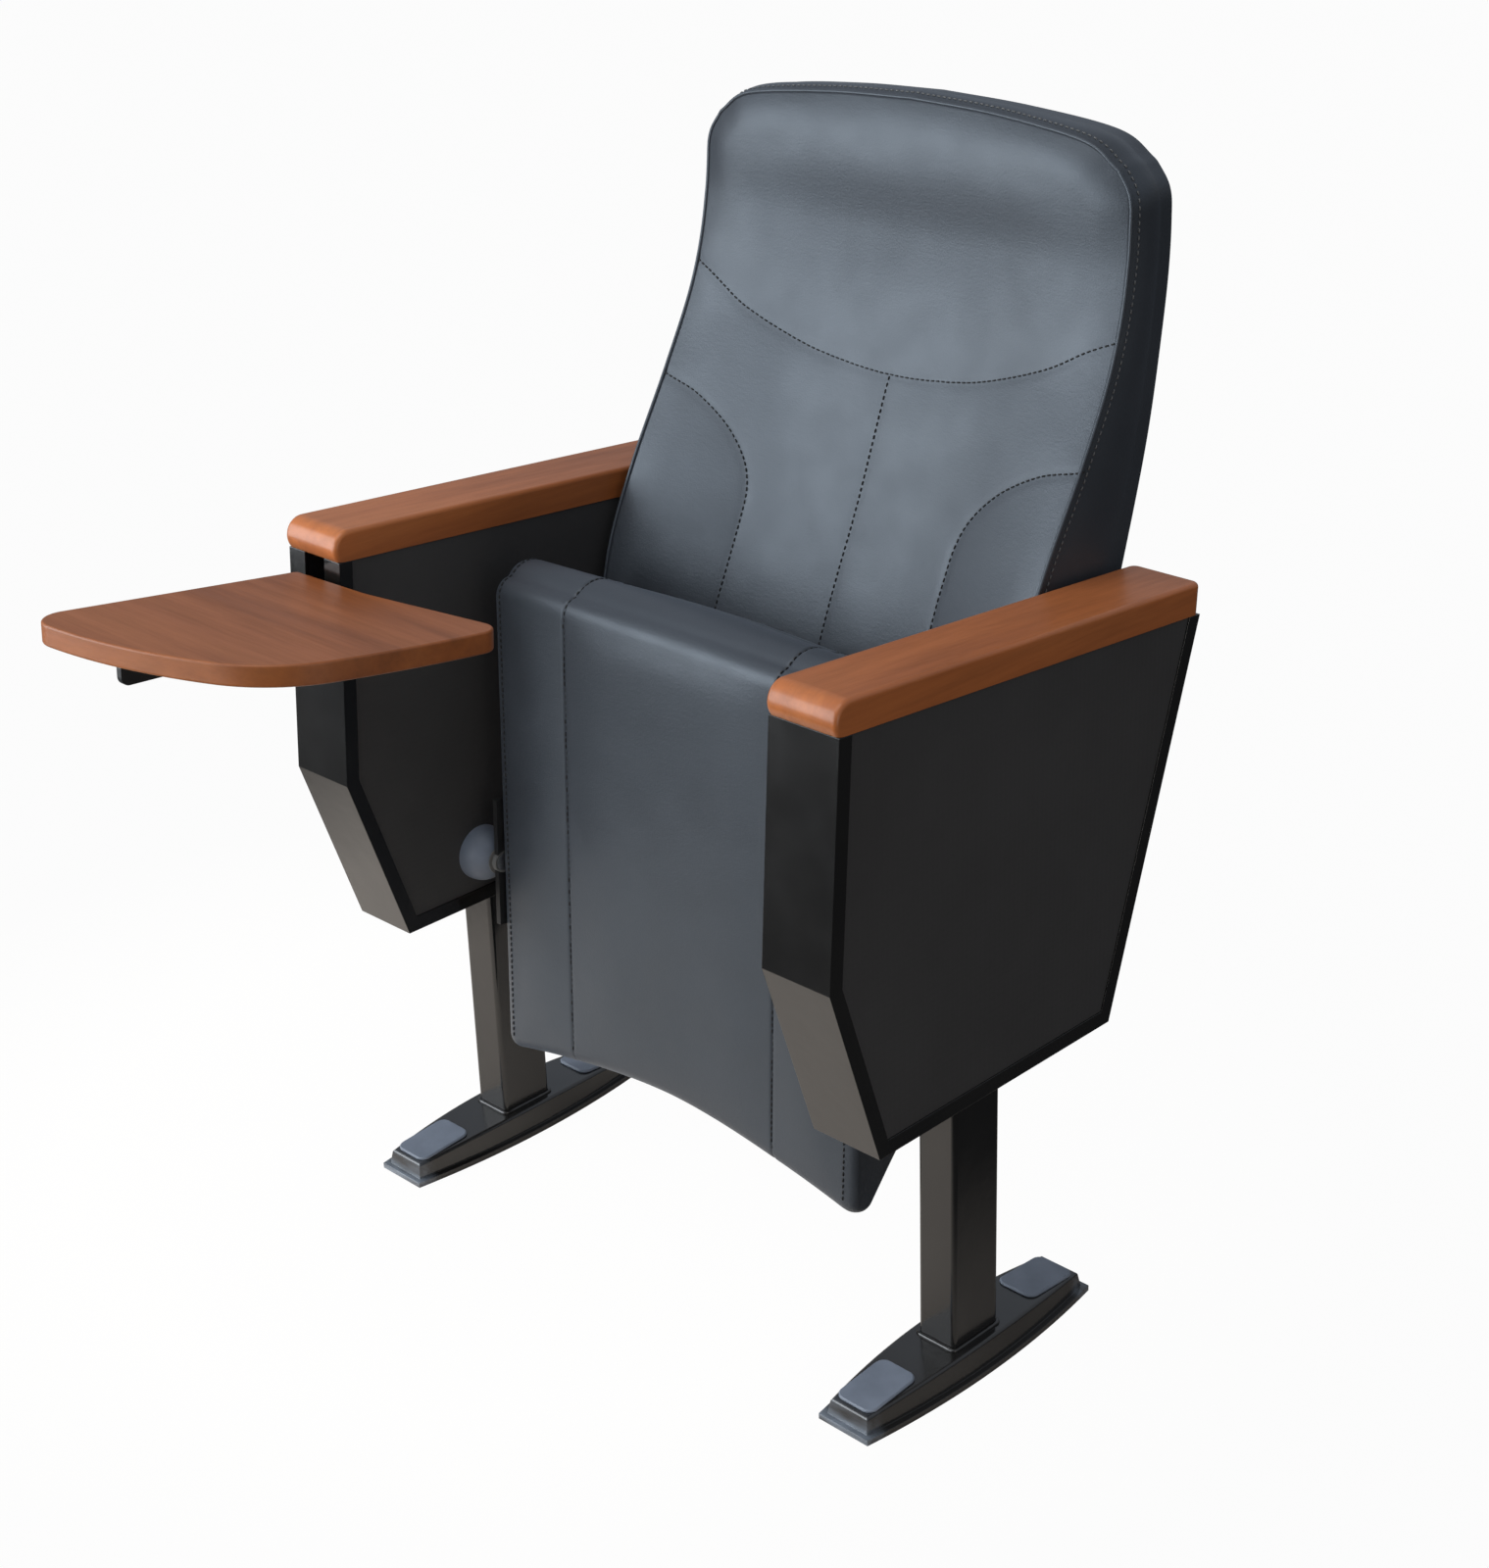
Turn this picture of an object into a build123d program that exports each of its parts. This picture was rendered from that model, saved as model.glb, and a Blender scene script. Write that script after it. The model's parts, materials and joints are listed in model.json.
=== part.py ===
"""Tip-up auditorium seat with two arm boxes, a tipping padded seat and a fold-up writing tablet.

Millimetres, +Z up, the sitter faces -Y, +X is the sitter's left. The origin lies on the floor,
midway between the arm boxes, and the seat is modelled tipped up with the tablet laid flat.
"""
import os
from math import atan2, cos, degrees, hypot, radians, sin

from build123d import *

# ---- arm boxes: a steel channel bent round four sides, a board in each face, a wooden top ----
BOX_INNER_X = 242.0          # from the middle of the seat to the inner face of each box
BOX_WIDTH = 67.0             # across one box
ARM_SLOPE = 4.3              # degrees by which the armrest falls towards the back
ARM_FRONT_Y = -173.0         # front upper corner of the box
ARM_FRONT_Z = 614.0
ARM_LENGTH = 418.0           # along the sloping top
FRONT_DROP = 195.0           # down the front face to its knee
BOX_BASE_Z = 261.0           # level bottom edge of the box
BASE_FRONT_Y = -137.0
BASE_BACK_Y = 140.0
CHANNEL_THICK = 2.5          # sheet of the bent channel
LIP_DEPTH = 13.0             # how far the channel's lips reach over each face
LIP_THICK = 2.0
OPEN_TOP = 60.0              # outlines run this far past the open top before they are drawn in
PANEL_THICK = 8.0            # board behind the lips
FIELD_SINK = 1.0             # raised field of the board lies this far below the lips
FIT = 0.3                    # clearance between pieces that lie against each other
CAP_THICK = 26.0             # wooden armrest
CAP_NOSE = 4.0               # bulge of its rounded front end
CAP_NOSE_BACK = 12.0         # where the nose meets the top face
CAP_NOSE_HEIGHT = 11.0       # height of the bulge's foremost line
CAP_EDGE = 4.0               # rounding of its long upper edges
CAP_END = 8.0                # rounding of its back corners, seen from above
STRAP_PLACES = (70.0, 340.0)  # straps under the fixed armrest, from its front
STRAP_WIDTH = 30.0
STRAP_LEG = 36.0
STRAP_THICK = 3.0
STRAP_SCREW = 13.0           # screws each side of the strap's middle
ARMREST_SCREW = 20.0

# ---- posts and feet ----
POST_WIDTH = 38.0            # across the seat
POST_DEPTH = 55.0            # along the seat
POST_WALL = 2.0
POST_CORNER = 4.0
POST_Y = -7.0
POST_TOP_Z = 330.0
POST_BOTTOM_Z = 6.0
FOOT_LENGTH = 280.0
FOOT_END_WIDTH = 52.0
FOOT_MID_WIDTH = 75.0
SKIRT_HEIGHT = 5.0
SKIRT_LEDGE = 4.0            # step between the skirt and the raised body
FOOT_END_Z = 18.0            # height of the foot at its ends
FOOT_MID_Z = 25.0            # and under the post
FOOT_WALL = 3.5
FOOT_DRAFT = 10.0            # degrees of slope on the raised body
FOOT_EDGE = 3.0              # rounding of its upper edge
HOLE_SPACING = 200.0         # floor anchor holes, front to back
HOLE_R = 6.0
POCKET_LENGTH = 46.0         # pocket for the anchor's head
POCKET_WIDTH = 30.0
POCKET_FLOOR = 4.0
PLUG_LENGTH = 58.0           # plastic cap over the pocket
PLUG_WIDTH = 39.0
PLUG_CORNER = 9.0
PLUG_THICK = 2.2
PLUG_RIM = 4.0               # how far its rim reaches into the pocket
PLUG_WALL = 2.0
HOLLOW_LENGTH = 120.0        # open underside of the foot

# ---- seat hinge ----
PIVOT_Y = -50.0
PIVOT_Z = 309.0
PIN_R = 8.0
PIN_GAP = 0.05               # running clearance in the bush
BUSH_R = 10.0
BUSH_FLANGE_R = 13.0
BUSH_FLANGE = 1.0
HINGE_PLATE_THICK = 5.0
HINGE_PLATE_R = 60.0         # outer radius of the slotted sector
BOSS_R = 25.0                # domed cover over the hinge and its spring
BOSS_HOLE_R = 11.0
BOSS_WALL = 2.5
BOSS_GAP = 1.0               # from the cover to the turning bush
HINGE_SCREW = 26.0
HINGE_SCREW_SPOTS = ((42.0, 76.0), (42.0, -86.0), (24.0, -15.0))  # reach and angle from the pivot
PIVOT_PLATE_THICK = 4.0
PIVOT_PLATE_BACK_Y = 18.0
PIVOT_PLATE_FRONT = 17.0     # plate in front of and below the pivot
PIVOT_PLATE_RISE = 34.0      # plate above the pivot
STOP_REACH = 42.0            # from the pivot to the stop peg
STOP_ANGLE = 25.0            # of the peg above the level, behind the pivot
PEG_R = 5.0
SLEEVE_R = 9.0               # rubber sleeve on the peg
SLEEVE_LENGTH = 20.0
SPRING_WIRE = 2.2            # side of its square wire
SPRING_TURNS = 4
SPRING_PITCH = 3.2
TIP_TRAVEL = 86.0            # degrees from tipped up to sitting
PIN_END_GAP = 0.5            # from the hinge plate's inner face to the end of the pin

# ---- padded seat, tipped up; its length runs up and its thickness runs back ----
SEAT_LEAN = 2.8              # degrees off the upright when tipped up
SEAT_HALF_WIDTH = 211.0
SEAT_UNDER = 7.0             # underside in front of the pivot
SEAT_THICK = 99.0
SEAT_CROWN = 11.0            # rise of the sitting face in the middle
SEAT_NOSE_RISE = 276.0       # from the pivot to the front roll
SEAT_TAIL_DROP = 185.0       # from the pivot to the rear corners
SEAT_TAIL_NOTCH = 28.0       # the middle of the rear edge is this much shorter
NOTCH_START = 46.0           # the rear edge steps up between these distances from the side
NOTCH_END = 86.0
SEAT_TAIL_SLANT = 70.0       # the sitting face ends this far before the rear edge
NOSE_CORNER = 18.0           # radius between the underside and the front roll
NOSE_BACK_CORNER = 30.0      # radius between the front roll and the sitting face
NOSE_CROWN = 10.0            # rise of the front roll
SIDE_PULL = 8.0              # how far the sides draw in at their edges
TAIL_CORNER = 14.0           # radius between the underside and the rear edge
EAR_ROUND = 8.0              # rounding of the rear corners
SEAT_SEAM_X = 121.0          # sewn channels along the seat
SEAM_WIDTH = 2.4
SEAM_DEPTH = 2.0
SEAT_PAD_UNDER = 17.0        # padding under the board
SEAT_BOARD_THICK = 12.0
SEAT_BOARD_HALF = 176.0
SEAT_BOARD_FRONT = 232.0
SEAT_BOARD_REAR = 138.0
CLEAT_WIDTH = 28.0           # hardwood cleats that take the hinge screws
CLEAT_HEIGHT = 32.0
CLEAT_LOW = -3.0
CLEAT_FRONT = 100.0
CLEAT_REAR = 60.0

# ---- padded back ----
BACK_SIDE_GAP = 11.0         # from the gusset to the arm box, at the widest
BACK_TOP_Z = 947.0
BACK_CORNER_DROP = 72.0      # height and width of the rounded top corners
BACK_CORNER_WIDTH = 58.0
BACK_TOP_CROWN = 14.0        # rise of the top edge in its middle
BOLSTER_INSET = 104.0        # width of each side bolster
BOLSTER_CROWN = 8.0
BOLSTER_LIP = 14.0           # how softly the bolsters meet the dished middle
CORNER_BEND = 0.43           # shape of the rounded corners
CORNER_FALL = 20.0
GUSSET_BULGE = 5.0
BACK_BOARD_THICK = 12.0
BACK_BOARD_INSET = 26.0      # from the side of the cushion to the board
REAR_GAP = 13.0              # space between the board and the rear cover
COVER_WALL = 3.0
BRACKET_THICK = 5.0
BRACKET_HEIGHT = 60.0
BRACKET_Z = 462.0            # middle height of the side brackets
BRACKET_LEG = 62.0           # leg screwed to the back board
BRACKET_REACH = 78.0         # leg bolted to the arm box
BOLT_R = 4.0
BOLT_HEAD_R = 6.5
BOLT_HEAD = 4.5
BOLT_SPACING = 34.0
NUT_PLATE_THICK = 4.0
NUT_PLATE_EDGE = 12.0
BOARD_SCREW = 13.0
BOARD_SCREW_PLACES = (42.0, 56.0)  # from the arm box inward
COVER_SCREW = 22.0
# Sewn channels of the back, seen from the front: out from the middle, and height.
BACK_SEAMS = (
    ((-222.0, 772.0), (-120.0, 734.0), (0.0, 725.0), (120.0, 734.0), (222.0, 772.0)),
    ((228.0, 686.0), (160.0, 664.0), (128.0, 610.0), (106.0, 520.0)),
    ((0.5, 724.0), (0.5, 640.0), (0.5, 420.0)),
)

# ---- writing tablet on the sitter's right ----
TABLET_THICK = 18.0
TABLET_DROP = 14.0           # board's top below the underside of the armrest
TABLET_EDGE = 2.0            # rounding of the board's edges
# Corners of the board before rounding: forward from the box's front face, inward from its middle.
TABLET_REAR_OUTER = (10.0, -10.5)
TABLET_FRONT_OUTER = (240.0, -50.6)
TABLET_FRONT_INNER = (172.0, 178.0)
TABLET_REAR_INNER = (-19.5, 217.0)
TABLET_REAR_BEND = (6.0, 75.5)
TABLET_FRONT_BOW = (231.0, 39.5)   # points on its two bowed sides
TABLET_SIDE_BOW = (76.0, 203.5)
TABLET_RADII = (5.0, 24.0, 110.0, 15.0, 80.0)  # rounding of those corners, in the same order
FLIP_INWARD = 9.5            # hinge line under the board
FLIP_DROP = 7.0              # hinge line below the board's underside
KNUCKLE_R = 5.0
HINGE_PIN_R = 2.5
LEAF_LENGTH = 40.0
LEAF_WIDTH = 45.0
LEAF_THICK = 2.5
LEAF_PLACES = (40.0, 140.0)  # from the box's front face to each leaf
LEAF_SCREWS = (18.0, 36.0)   # screws, from the hinge line
TABLET_SCREW = 14.0
ARM_BAR_THICK = 6.0
ARM_BAR_HEIGHT = 22.0
ARM_BAR_FRONT = 196.0
ARM_BAR_BACK = 58.0          # part of the bar inside the box
ARM_BAR_SHIFT = 2.0          # the bar lies this far outside the hinge line
SLOT_WIDTH = 26.0
TAB_PLACE = 110.0            # rest under the board
TAB_REACH = 51.0
TAB_WIDTH = 30.0
TAB_THICK = 4.0
SWING_BACK = 44.0            # swing pin behind the box's front face
SWING_PIN_R = 4.0
SWING_HEAD_R = 6.0
SWING_HEAD = 2.0
SPACER_R = 7.0
CHEEK_THICK = 3.0
CHEEK_GAP = 1.0              # from the slot's sides to the cheeks
CHEEK_LENGTH = 55.0
CHEEK_EDGE = 17.0            # cheek above and below the swing pin

# ---- armrest lid hinges on the tablet side ----
LID_KNUCKLE_R = 2.5
LID_LEAF_THICK = 1.5
LID_LEAF_LENGTH = 50.0
LID_LEAF_HEIGHT = 18.0
LID_LEAF_START = 3.0         # leaf plates keep this far off the hinge line
LID_LEAF_PLACES = (60.0, 310.0)  # from the front of the armrest to each hinge
LID_PIN_R = 1.2

COVER_BOSS_R = 6.0           # pillars inside the rear cover
COVER_SCREWS = ((150.0, 470.0), (150.0, 760.0))  # out from the middle, and height

SCREW_R = 2.0
SCREW_HEAD_R = 4.0
SCREW_FACE_R = 2.4           # flat end of the head
SCREW_HEAD = 2.4

# Stations of the padded back from its foot to its head: height, front edge, front middle, rear
# plane, and half width less the side gap.
BACK_STATIONS = (
    (398.0, 88.0, 104.0, 172.0, 8.0),
    (470.0, 91.0, 123.0, 198.0, 4.0),
    (546.0, 107.0, 153.0, 225.0, 0.0),
    (622.0, 142.0, 188.0, 251.0, 0.0),
    (700.0, 188.0, 218.0, 273.0, 0.0),
    (770.0, 224.0, 242.0, 288.0, 1.0),
    (836.0, 242.0, 249.0, 299.0, 3.0),
    (895.0, 244.0, 240.0, 302.0, 4.0),
    (960.0, 246.0, 243.0, 298.0, 6.0),
)

BOX_OUTER_X = BOX_INNER_X + BOX_WIDTH
BOX_MID_X = BOX_INNER_X + BOX_WIDTH / 2
SLOPE = radians(ARM_SLOPE)
ARM_FRONT = (ARM_FRONT_Y, ARM_FRONT_Z)
ARM_BACK = (ARM_FRONT_Y + ARM_LENGTH * cos(SLOPE), ARM_FRONT_Z - ARM_LENGTH * sin(SLOPE))
KNEE = (ARM_FRONT_Y - FRONT_DROP * sin(SLOPE), ARM_FRONT_Z - FRONT_DROP * cos(SLOPE))
PANEL_OUT_X = BOX_OUTER_X - LIP_THICK
PANEL_IN_X = BOX_INNER_X + LIP_THICK
PANEL_BACK_X = PANEL_IN_X + PANEL_THICK
FIELD_IN_X = BOX_INNER_X + FIELD_SINK
BOARD_UNDER = -TABLET_DROP - TABLET_THICK
FLIP_LIFT = BOARD_UNDER - FLIP_DROP
BAR_TOP = FLIP_LIFT - KNUCKLE_R - FIT
BAR_BOTTOM = BAR_TOP - ARM_BAR_HEIGHT
BAR_OUT = FLIP_INWARD - ARM_BAR_SHIFT - ARM_BAR_THICK / 2
BAR_IN = BAR_OUT + ARM_BAR_THICK
SWING_LIFT = (BAR_TOP + BAR_BOTTOM) / 2
CHEEK_INNER = SLOT_WIDTH / 2 + CHEEK_GAP
HINGE_PLATE_X = SEAT_HALF_WIDTH + FIT
BUSH_END_X = HINGE_PLATE_X + HINGE_PLATE_THICK + BUSH_FLANGE
PIVOT_PLATE_X = BOX_MID_X - POST_WIDTH / 2 - PIVOT_PLATE_THICK
BACK_HALF_WIDTH = BOX_INNER_X - BACK_SIDE_GAP
BOARD_REAR = -REAR_GAP - COVER_WALL
# Frames: along the armrest (x forward from the box's front face, y across, z square to the
# armrest's underside), and along the tipped-up seat (y through its thickness, z along its length).
ARM_SPACE = Plane(
    origin=(0, ARM_FRONT_Y, ARM_FRONT_Z),
    x_dir=(0, -cos(SLOPE), sin(SLOPE)),
    z_dir=(0, sin(SLOPE), cos(SLOPE)),
).location
TABLET_SPACE = ARM_SPACE * Location((0, -BOX_MID_X, 0))
LID_SPACE = ARM_SPACE * Location((0, -BOX_OUTER_X - FIT - LID_KNUCKLE_R, 0))
SEAT_SPACE = Location((0, PIVOT_Y, PIVOT_Z)) * Rotation(-SEAT_LEAN, 0, 0)
STOP_Y = PIVOT_Y + STOP_REACH * cos(radians(STOP_ANGLE))
STOP_Z = PIVOT_Z + STOP_REACH * sin(radians(STOP_ANGLE))

parts = {}


def side_face(points):
    """A face in the side view, from (y, z) corners."""
    return make_face(Polyline(*points, close=True))


def slab(face, x_low, x_high):
    """A side-view face given thickness between two places across the seat."""
    return extrude(Plane.YZ.offset(x_low) * face, amount=x_high - x_low)


def rod(radius, x_low, x_high, y, z):
    """A round bar across the seat."""
    return extrude(Plane.YZ.offset(x_low) * Pos(y, z) * Circle(radius), amount=x_high - x_low)


def other_side(shape):
    return mirror(shape, about=Plane.YZ)


def block(low, high):
    """A box between two opposite corners."""
    size = [b - a for a, b in zip(low, high)]
    middle = [(a + b) / 2 for a, b in zip(low, high)]
    return Pos(*middle) * Box(*size)


def rounded_plate(length, width, corner, thick):
    """A flat plate with rounded corners that stands on its own origin."""
    return extrude(RectangleRounded(length, width, corner), amount=thick)


# ------------------------------------------------------------------ arm boxes
def box_outline(rise=0.0):
    """Side view of a box; rise lifts its top so that insets leave the top open."""
    up = (sin(SLOPE) * rise, cos(SLOPE) * rise)
    back_run = (ARM_BACK[0] - BASE_BACK_Y) / (ARM_BACK[1] - BOX_BASE_Z)
    front = (ARM_FRONT[0] + up[0], ARM_FRONT[1] + up[1])
    back = (ARM_BACK[0] + back_run * rise, ARM_BACK[1] + rise)
    return side_face([front, KNEE, (BASE_FRONT_Y, BOX_BASE_Z), (BASE_BACK_Y, BOX_BASE_Z), back])


def inset_outline(distance, lower_top=0.0):
    """The box's side view drawn in on four sides and left open at the top."""
    tall = offset(box_outline(OPEN_TOP), -distance, kind=Kind.INTERSECTION)
    drop = Location((sin(-SLOPE) * lower_top, -cos(SLOPE) * lower_top, 0))
    return tall & (drop * box_outline())


def arm_frame():
    channel = slab(box_outline(), BOX_INNER_X, BOX_OUTER_X)
    inside = offset(box_outline(OPEN_TOP), -CHANNEL_THICK, kind=Kind.INTERSECTION)
    channel -= slab(inside, BOX_INNER_X + LIP_THICK, BOX_OUTER_X - LIP_THICK)
    opening = offset(box_outline(OPEN_TOP), -LIP_DEPTH, kind=Kind.INTERSECTION)
    channel -= slab(opening, BOX_INNER_X - 1, BOX_OUTER_X + 1)
    post_hole = Pos(BOX_MID_X, POST_Y, BOX_BASE_Z) * Box(POST_WIDTH, POST_DEPTH, 3 * CHANNEL_THICK)
    return channel - post_hole


def side_panel(back_x, front_x, field_x):
    """A covered board: full outline behind the lips, a raised field between them."""
    board = slab(inset_outline(CHANNEL_THICK + FIT, FIT), *sorted((back_x, front_x)))
    field = slab(inset_outline(LIP_DEPTH + FIT, FIT), *sorted((front_x, field_x)))
    return board + field


def armrest_profile():
    """Side view of the wooden armrest along its own slope: flat below, a round nose in front."""
    nose = ThreePointArc((CAP_NOSE_BACK, CAP_THICK), (-CAP_NOSE, CAP_NOSE_HEIGHT), (0, 0))
    rim = Polyline((0, 0), (ARM_LENGTH, 0), (ARM_LENGTH, CAP_THICK), (CAP_NOSE_BACK, CAP_THICK))
    return make_face(nose + rim)


def armrest():
    cap = extrude(armrest_profile(), amount=BOX_WIDTH)
    cap = fillet(cap.edges().filter_by(Axis.Y).group_by(Axis.X)[-1], CAP_END)
    top = cap.faces().filter_by(Axis.Y).sort_by(Axis.Y)[-1]
    nose = top.edges().sort_by(Axis.X)[0]
    cap = fillet([edge for edge in top.edges() if edge != nose], CAP_EDGE)
    lie = Plane(
        origin=(BOX_INNER_X, ARM_FRONT_Y, ARM_FRONT_Z),
        x_dir=(0, cos(SLOPE), -sin(SLOPE)),
        z_dir=(1, 0, 0),
    )
    return lie.location * Pos(0, FIT, 0) * cap


def armrest_fixings():
    """Bent straps between the boards of the fixed armrest, and the screws that reach up into it."""
    low = PANEL_BACK_X + FIT
    high = PANEL_OUT_X - PANEL_THICK - FIT
    straps = []
    screws = []
    for along in STRAP_PLACES:
        outside = block((-along - STRAP_WIDTH / 2, low, -STRAP_LEG), (-along + STRAP_WIDTH / 2, high, 0))
        inside = block(
            (-along - STRAP_WIDTH, low + STRAP_THICK, -STRAP_LEG - 1),
            (-along + STRAP_WIDTH, high - STRAP_THICK, -STRAP_THICK),
        )
        strap = outside - inside
        for x in (BOX_MID_X - STRAP_SCREW, BOX_MID_X + STRAP_SCREW):
            spot = Pos(-along, x, -STRAP_THICK)
            strap -= spot * Cylinder(SCREW_R, 4 * STRAP_THICK)
            screws.append(ARM_SPACE * spot * wood_screw(ARMREST_SCREW))
        straps.append(ARM_SPACE * strap)
    return straps, screws


def wood_screw(length):
    """A screw whose head hangs under its origin and whose shank runs up."""
    shank = Cylinder(SCREW_R, length, align=(Align.CENTER, Align.CENTER, Align.MIN))
    head = Cone(SCREW_FACE_R, SCREW_HEAD_R, SCREW_HEAD, align=(Align.CENTER, Align.CENTER, Align.MAX))
    return shank + head


# ------------------------------------------------------------------ posts and feet
def post():
    """Rectangular tube from the foot's hollow up into the box."""
    outside = RectangleRounded(POST_WIDTH, POST_DEPTH, POST_CORNER)
    inside = offset(outside, -POST_WALL)
    tube = extrude(outside - inside, amount=POST_TOP_Z - POST_BOTTOM_Z)
    return Pos(BOX_MID_X, POST_Y, POST_BOTTOM_Z) * tube


def foot_plan(inset):
    """Plan of the foot: square ends and bowed sides."""
    end = FOOT_END_WIDTH / 2 - inset
    middle = FOOT_MID_WIDTH / 2 - inset
    tip = FOOT_LENGTH / 2 - inset
    right = ThreePointArc((end, -tip), (middle, 0), (end, tip))
    left = ThreePointArc((-end, tip), (-middle, 0), (-end, -tip))
    return make_face(Line((-end, -tip), (end, -tip)) + right + Line((end, tip), (-end, tip)) + left)


def foot_crown(drop):
    """Body under the foot's bowed upper surface, seen from the side."""
    half = FOOT_LENGTH / 2
    top = ThreePointArc((-half, FOOT_END_Z - drop), (0, FOOT_MID_Z - drop), (half, FOOT_END_Z - drop))
    rim = Polyline((half, FOOT_END_Z - drop), (half, 0), (-half, 0), (-half, FOOT_END_Z - drop))
    return slab(make_face(top + rim), -FOOT_MID_WIDTH, FOOT_MID_WIDTH)


def foot():
    """Pressed steel foot: a skirt, a raised body, a hollow middle and two anchor pockets."""
    body = extrude(foot_plan(SKIRT_LEDGE), amount=FOOT_MID_Z, taper=FOOT_DRAFT) & foot_crown(0)
    top = body.faces().sort_by(Axis.Z)[-1]
    body = fillet(top.edges(), FOOT_EDGE)
    shell = body + extrude(foot_plan(0), amount=SKIRT_HEIGHT)
    hollow = extrude(foot_plan(SKIRT_LEDGE + FOOT_WALL), amount=FOOT_MID_Z, taper=FOOT_DRAFT)
    hollow = hollow & foot_crown(FOOT_WALL) & Box(2 * FOOT_MID_WIDTH, HOLLOW_LENGTH, 4 * FOOT_MID_Z)
    shell -= hollow
    shell -= extrude(RectangleRounded(POST_WIDTH, POST_DEPTH, POST_CORNER), amount=2 * FOOT_MID_Z)
    for y in (-HOLE_SPACING / 2, HOLE_SPACING / 2):
        pocket = rounded_plate(POCKET_WIDTH, POCKET_LENGTH, PLUG_CORNER / 2, 2 * FOOT_MID_Z)
        shell -= Pos(0, y, POCKET_FLOOR) * pocket
        shell -= Pos(0, y, 0) * Cylinder(HOLE_R, 4 * POCKET_FLOOR)
    return Pos(BOX_MID_X, POST_Y, 0) * shell


def foot_top_z(y):
    """Height of the foot's bowed top at a distance from its middle."""
    rise = FOOT_MID_Z - FOOT_END_Z
    half = FOOT_LENGTH / 2
    radius = (half**2 + rise**2) / (2 * rise)
    return FOOT_MID_Z - radius + (radius**2 - y**2) ** 0.5


def plug(side):
    """Plastic cap that lies on the foot and plugs the anchor pocket; side is -1 in front."""
    y = side * HOLE_SPACING / 2
    step = PLUG_LENGTH / 2
    fall = degrees(atan2(foot_top_z(y - step) - foot_top_z(y + step), 2 * step))
    seat_z = foot_top_z(y) + FIT / 2
    lid = rounded_plate(PLUG_WIDTH, PLUG_LENGTH, PLUG_CORNER, PLUG_THICK)
    lid = chamfer(lid.faces().sort_by(Axis.Z)[-1].edges(), PLUG_THICK / 2)
    length = POCKET_LENGTH - 4 * FIT
    width = POCKET_WIDTH - 4 * FIT
    corner = PLUG_CORNER / 2
    rim = RectangleRounded(width, length, corner)
    rim -= RectangleRounded(width - 2 * PLUG_WALL, length - 2 * PLUG_WALL, corner - PLUG_WALL)
    cap = lid + extrude(rim, -PLUG_RIM)
    return Pos(BOX_MID_X, POST_Y + y, seat_z) * Rotation(-fall, 0, 0) * cap


# ------------------------------------------------------------------ seat hinge
def hinge_rod(radius, x_low, x_high):
    return rod(radius, x_low, x_high, PIVOT_Y, PIVOT_Z)


def peg_rod(radius, x_low, x_high):
    return rod(radius, x_low, x_high, STOP_Y, STOP_Z)


def pivot_plate():
    """Steel plate welded to the post's inner side; it holds the hinge pin and the stop peg."""
    low = (PIVOT_PLATE_X, PIVOT_Y - PIVOT_PLATE_FRONT, PIVOT_Z - PIVOT_PLATE_FRONT)
    high = (PIVOT_PLATE_X + PIVOT_PLATE_THICK, PIVOT_PLATE_BACK_Y, PIVOT_Z + PIVOT_PLATE_RISE)
    plate = block(low, high)
    plate = fillet(plate.edges().filter_by(Axis.X), PIVOT_PLATE_FRONT / 2)
    plate -= hinge_rod(PIN_R, low[0] - 1, high[0] + 1)
    return plate - peg_rod(PEG_R, low[0] - 1, high[0] + 1)


def boss():
    """Domed plastic cover between the arm box and the seat, open round the hinge."""
    height = FIELD_IN_X - BUSH_END_X - BOSS_GAP
    centre = (height**2 + BOSS_HOLE_R**2 - BOSS_R**2) / (2 * height)
    ball_r = hypot(BOSS_R, centre)
    stand = Cylinder(2 * BOSS_R, height, align=(Align.CENTER, Align.CENTER, Align.MIN))
    dome = Pos(0, 0, centre) * Sphere(ball_r) & stand
    dome -= Pos(0, 0, centre) * Sphere(ball_r - BOSS_WALL)
    dome -= Cylinder(BOSS_HOLE_R, 3 * height)
    return Pos(FIELD_IN_X, PIVOT_Y, PIVOT_Z) * Rotation(0, -90, 0) * dome


def return_spring():
    """Coil round the hinge pin inside the domed cover."""
    radius = PIN_R + FIT + SPRING_WIRE / 2
    path = Helix(SPRING_PITCH, SPRING_PITCH * SPRING_TURNS, radius)
    wire = Plane(origin=path @ 0, x_dir=(1, 0, 0), z_dir=path % 0) * Rectangle(SPRING_WIRE, SPRING_WIRE)
    coil = sweep(wire, path=path, is_frenet=True)
    start = BUSH_END_X + 2 * BOSS_GAP + SPRING_WIRE / 2
    return Pos(start, PIVOT_Y, PIVOT_Z) * Rotation(0, 90, 0) * coil


def seat_local(shape):
    """Place a piece that was drawn along the tipped-up seat."""
    return SEAT_SPACE * shape


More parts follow.
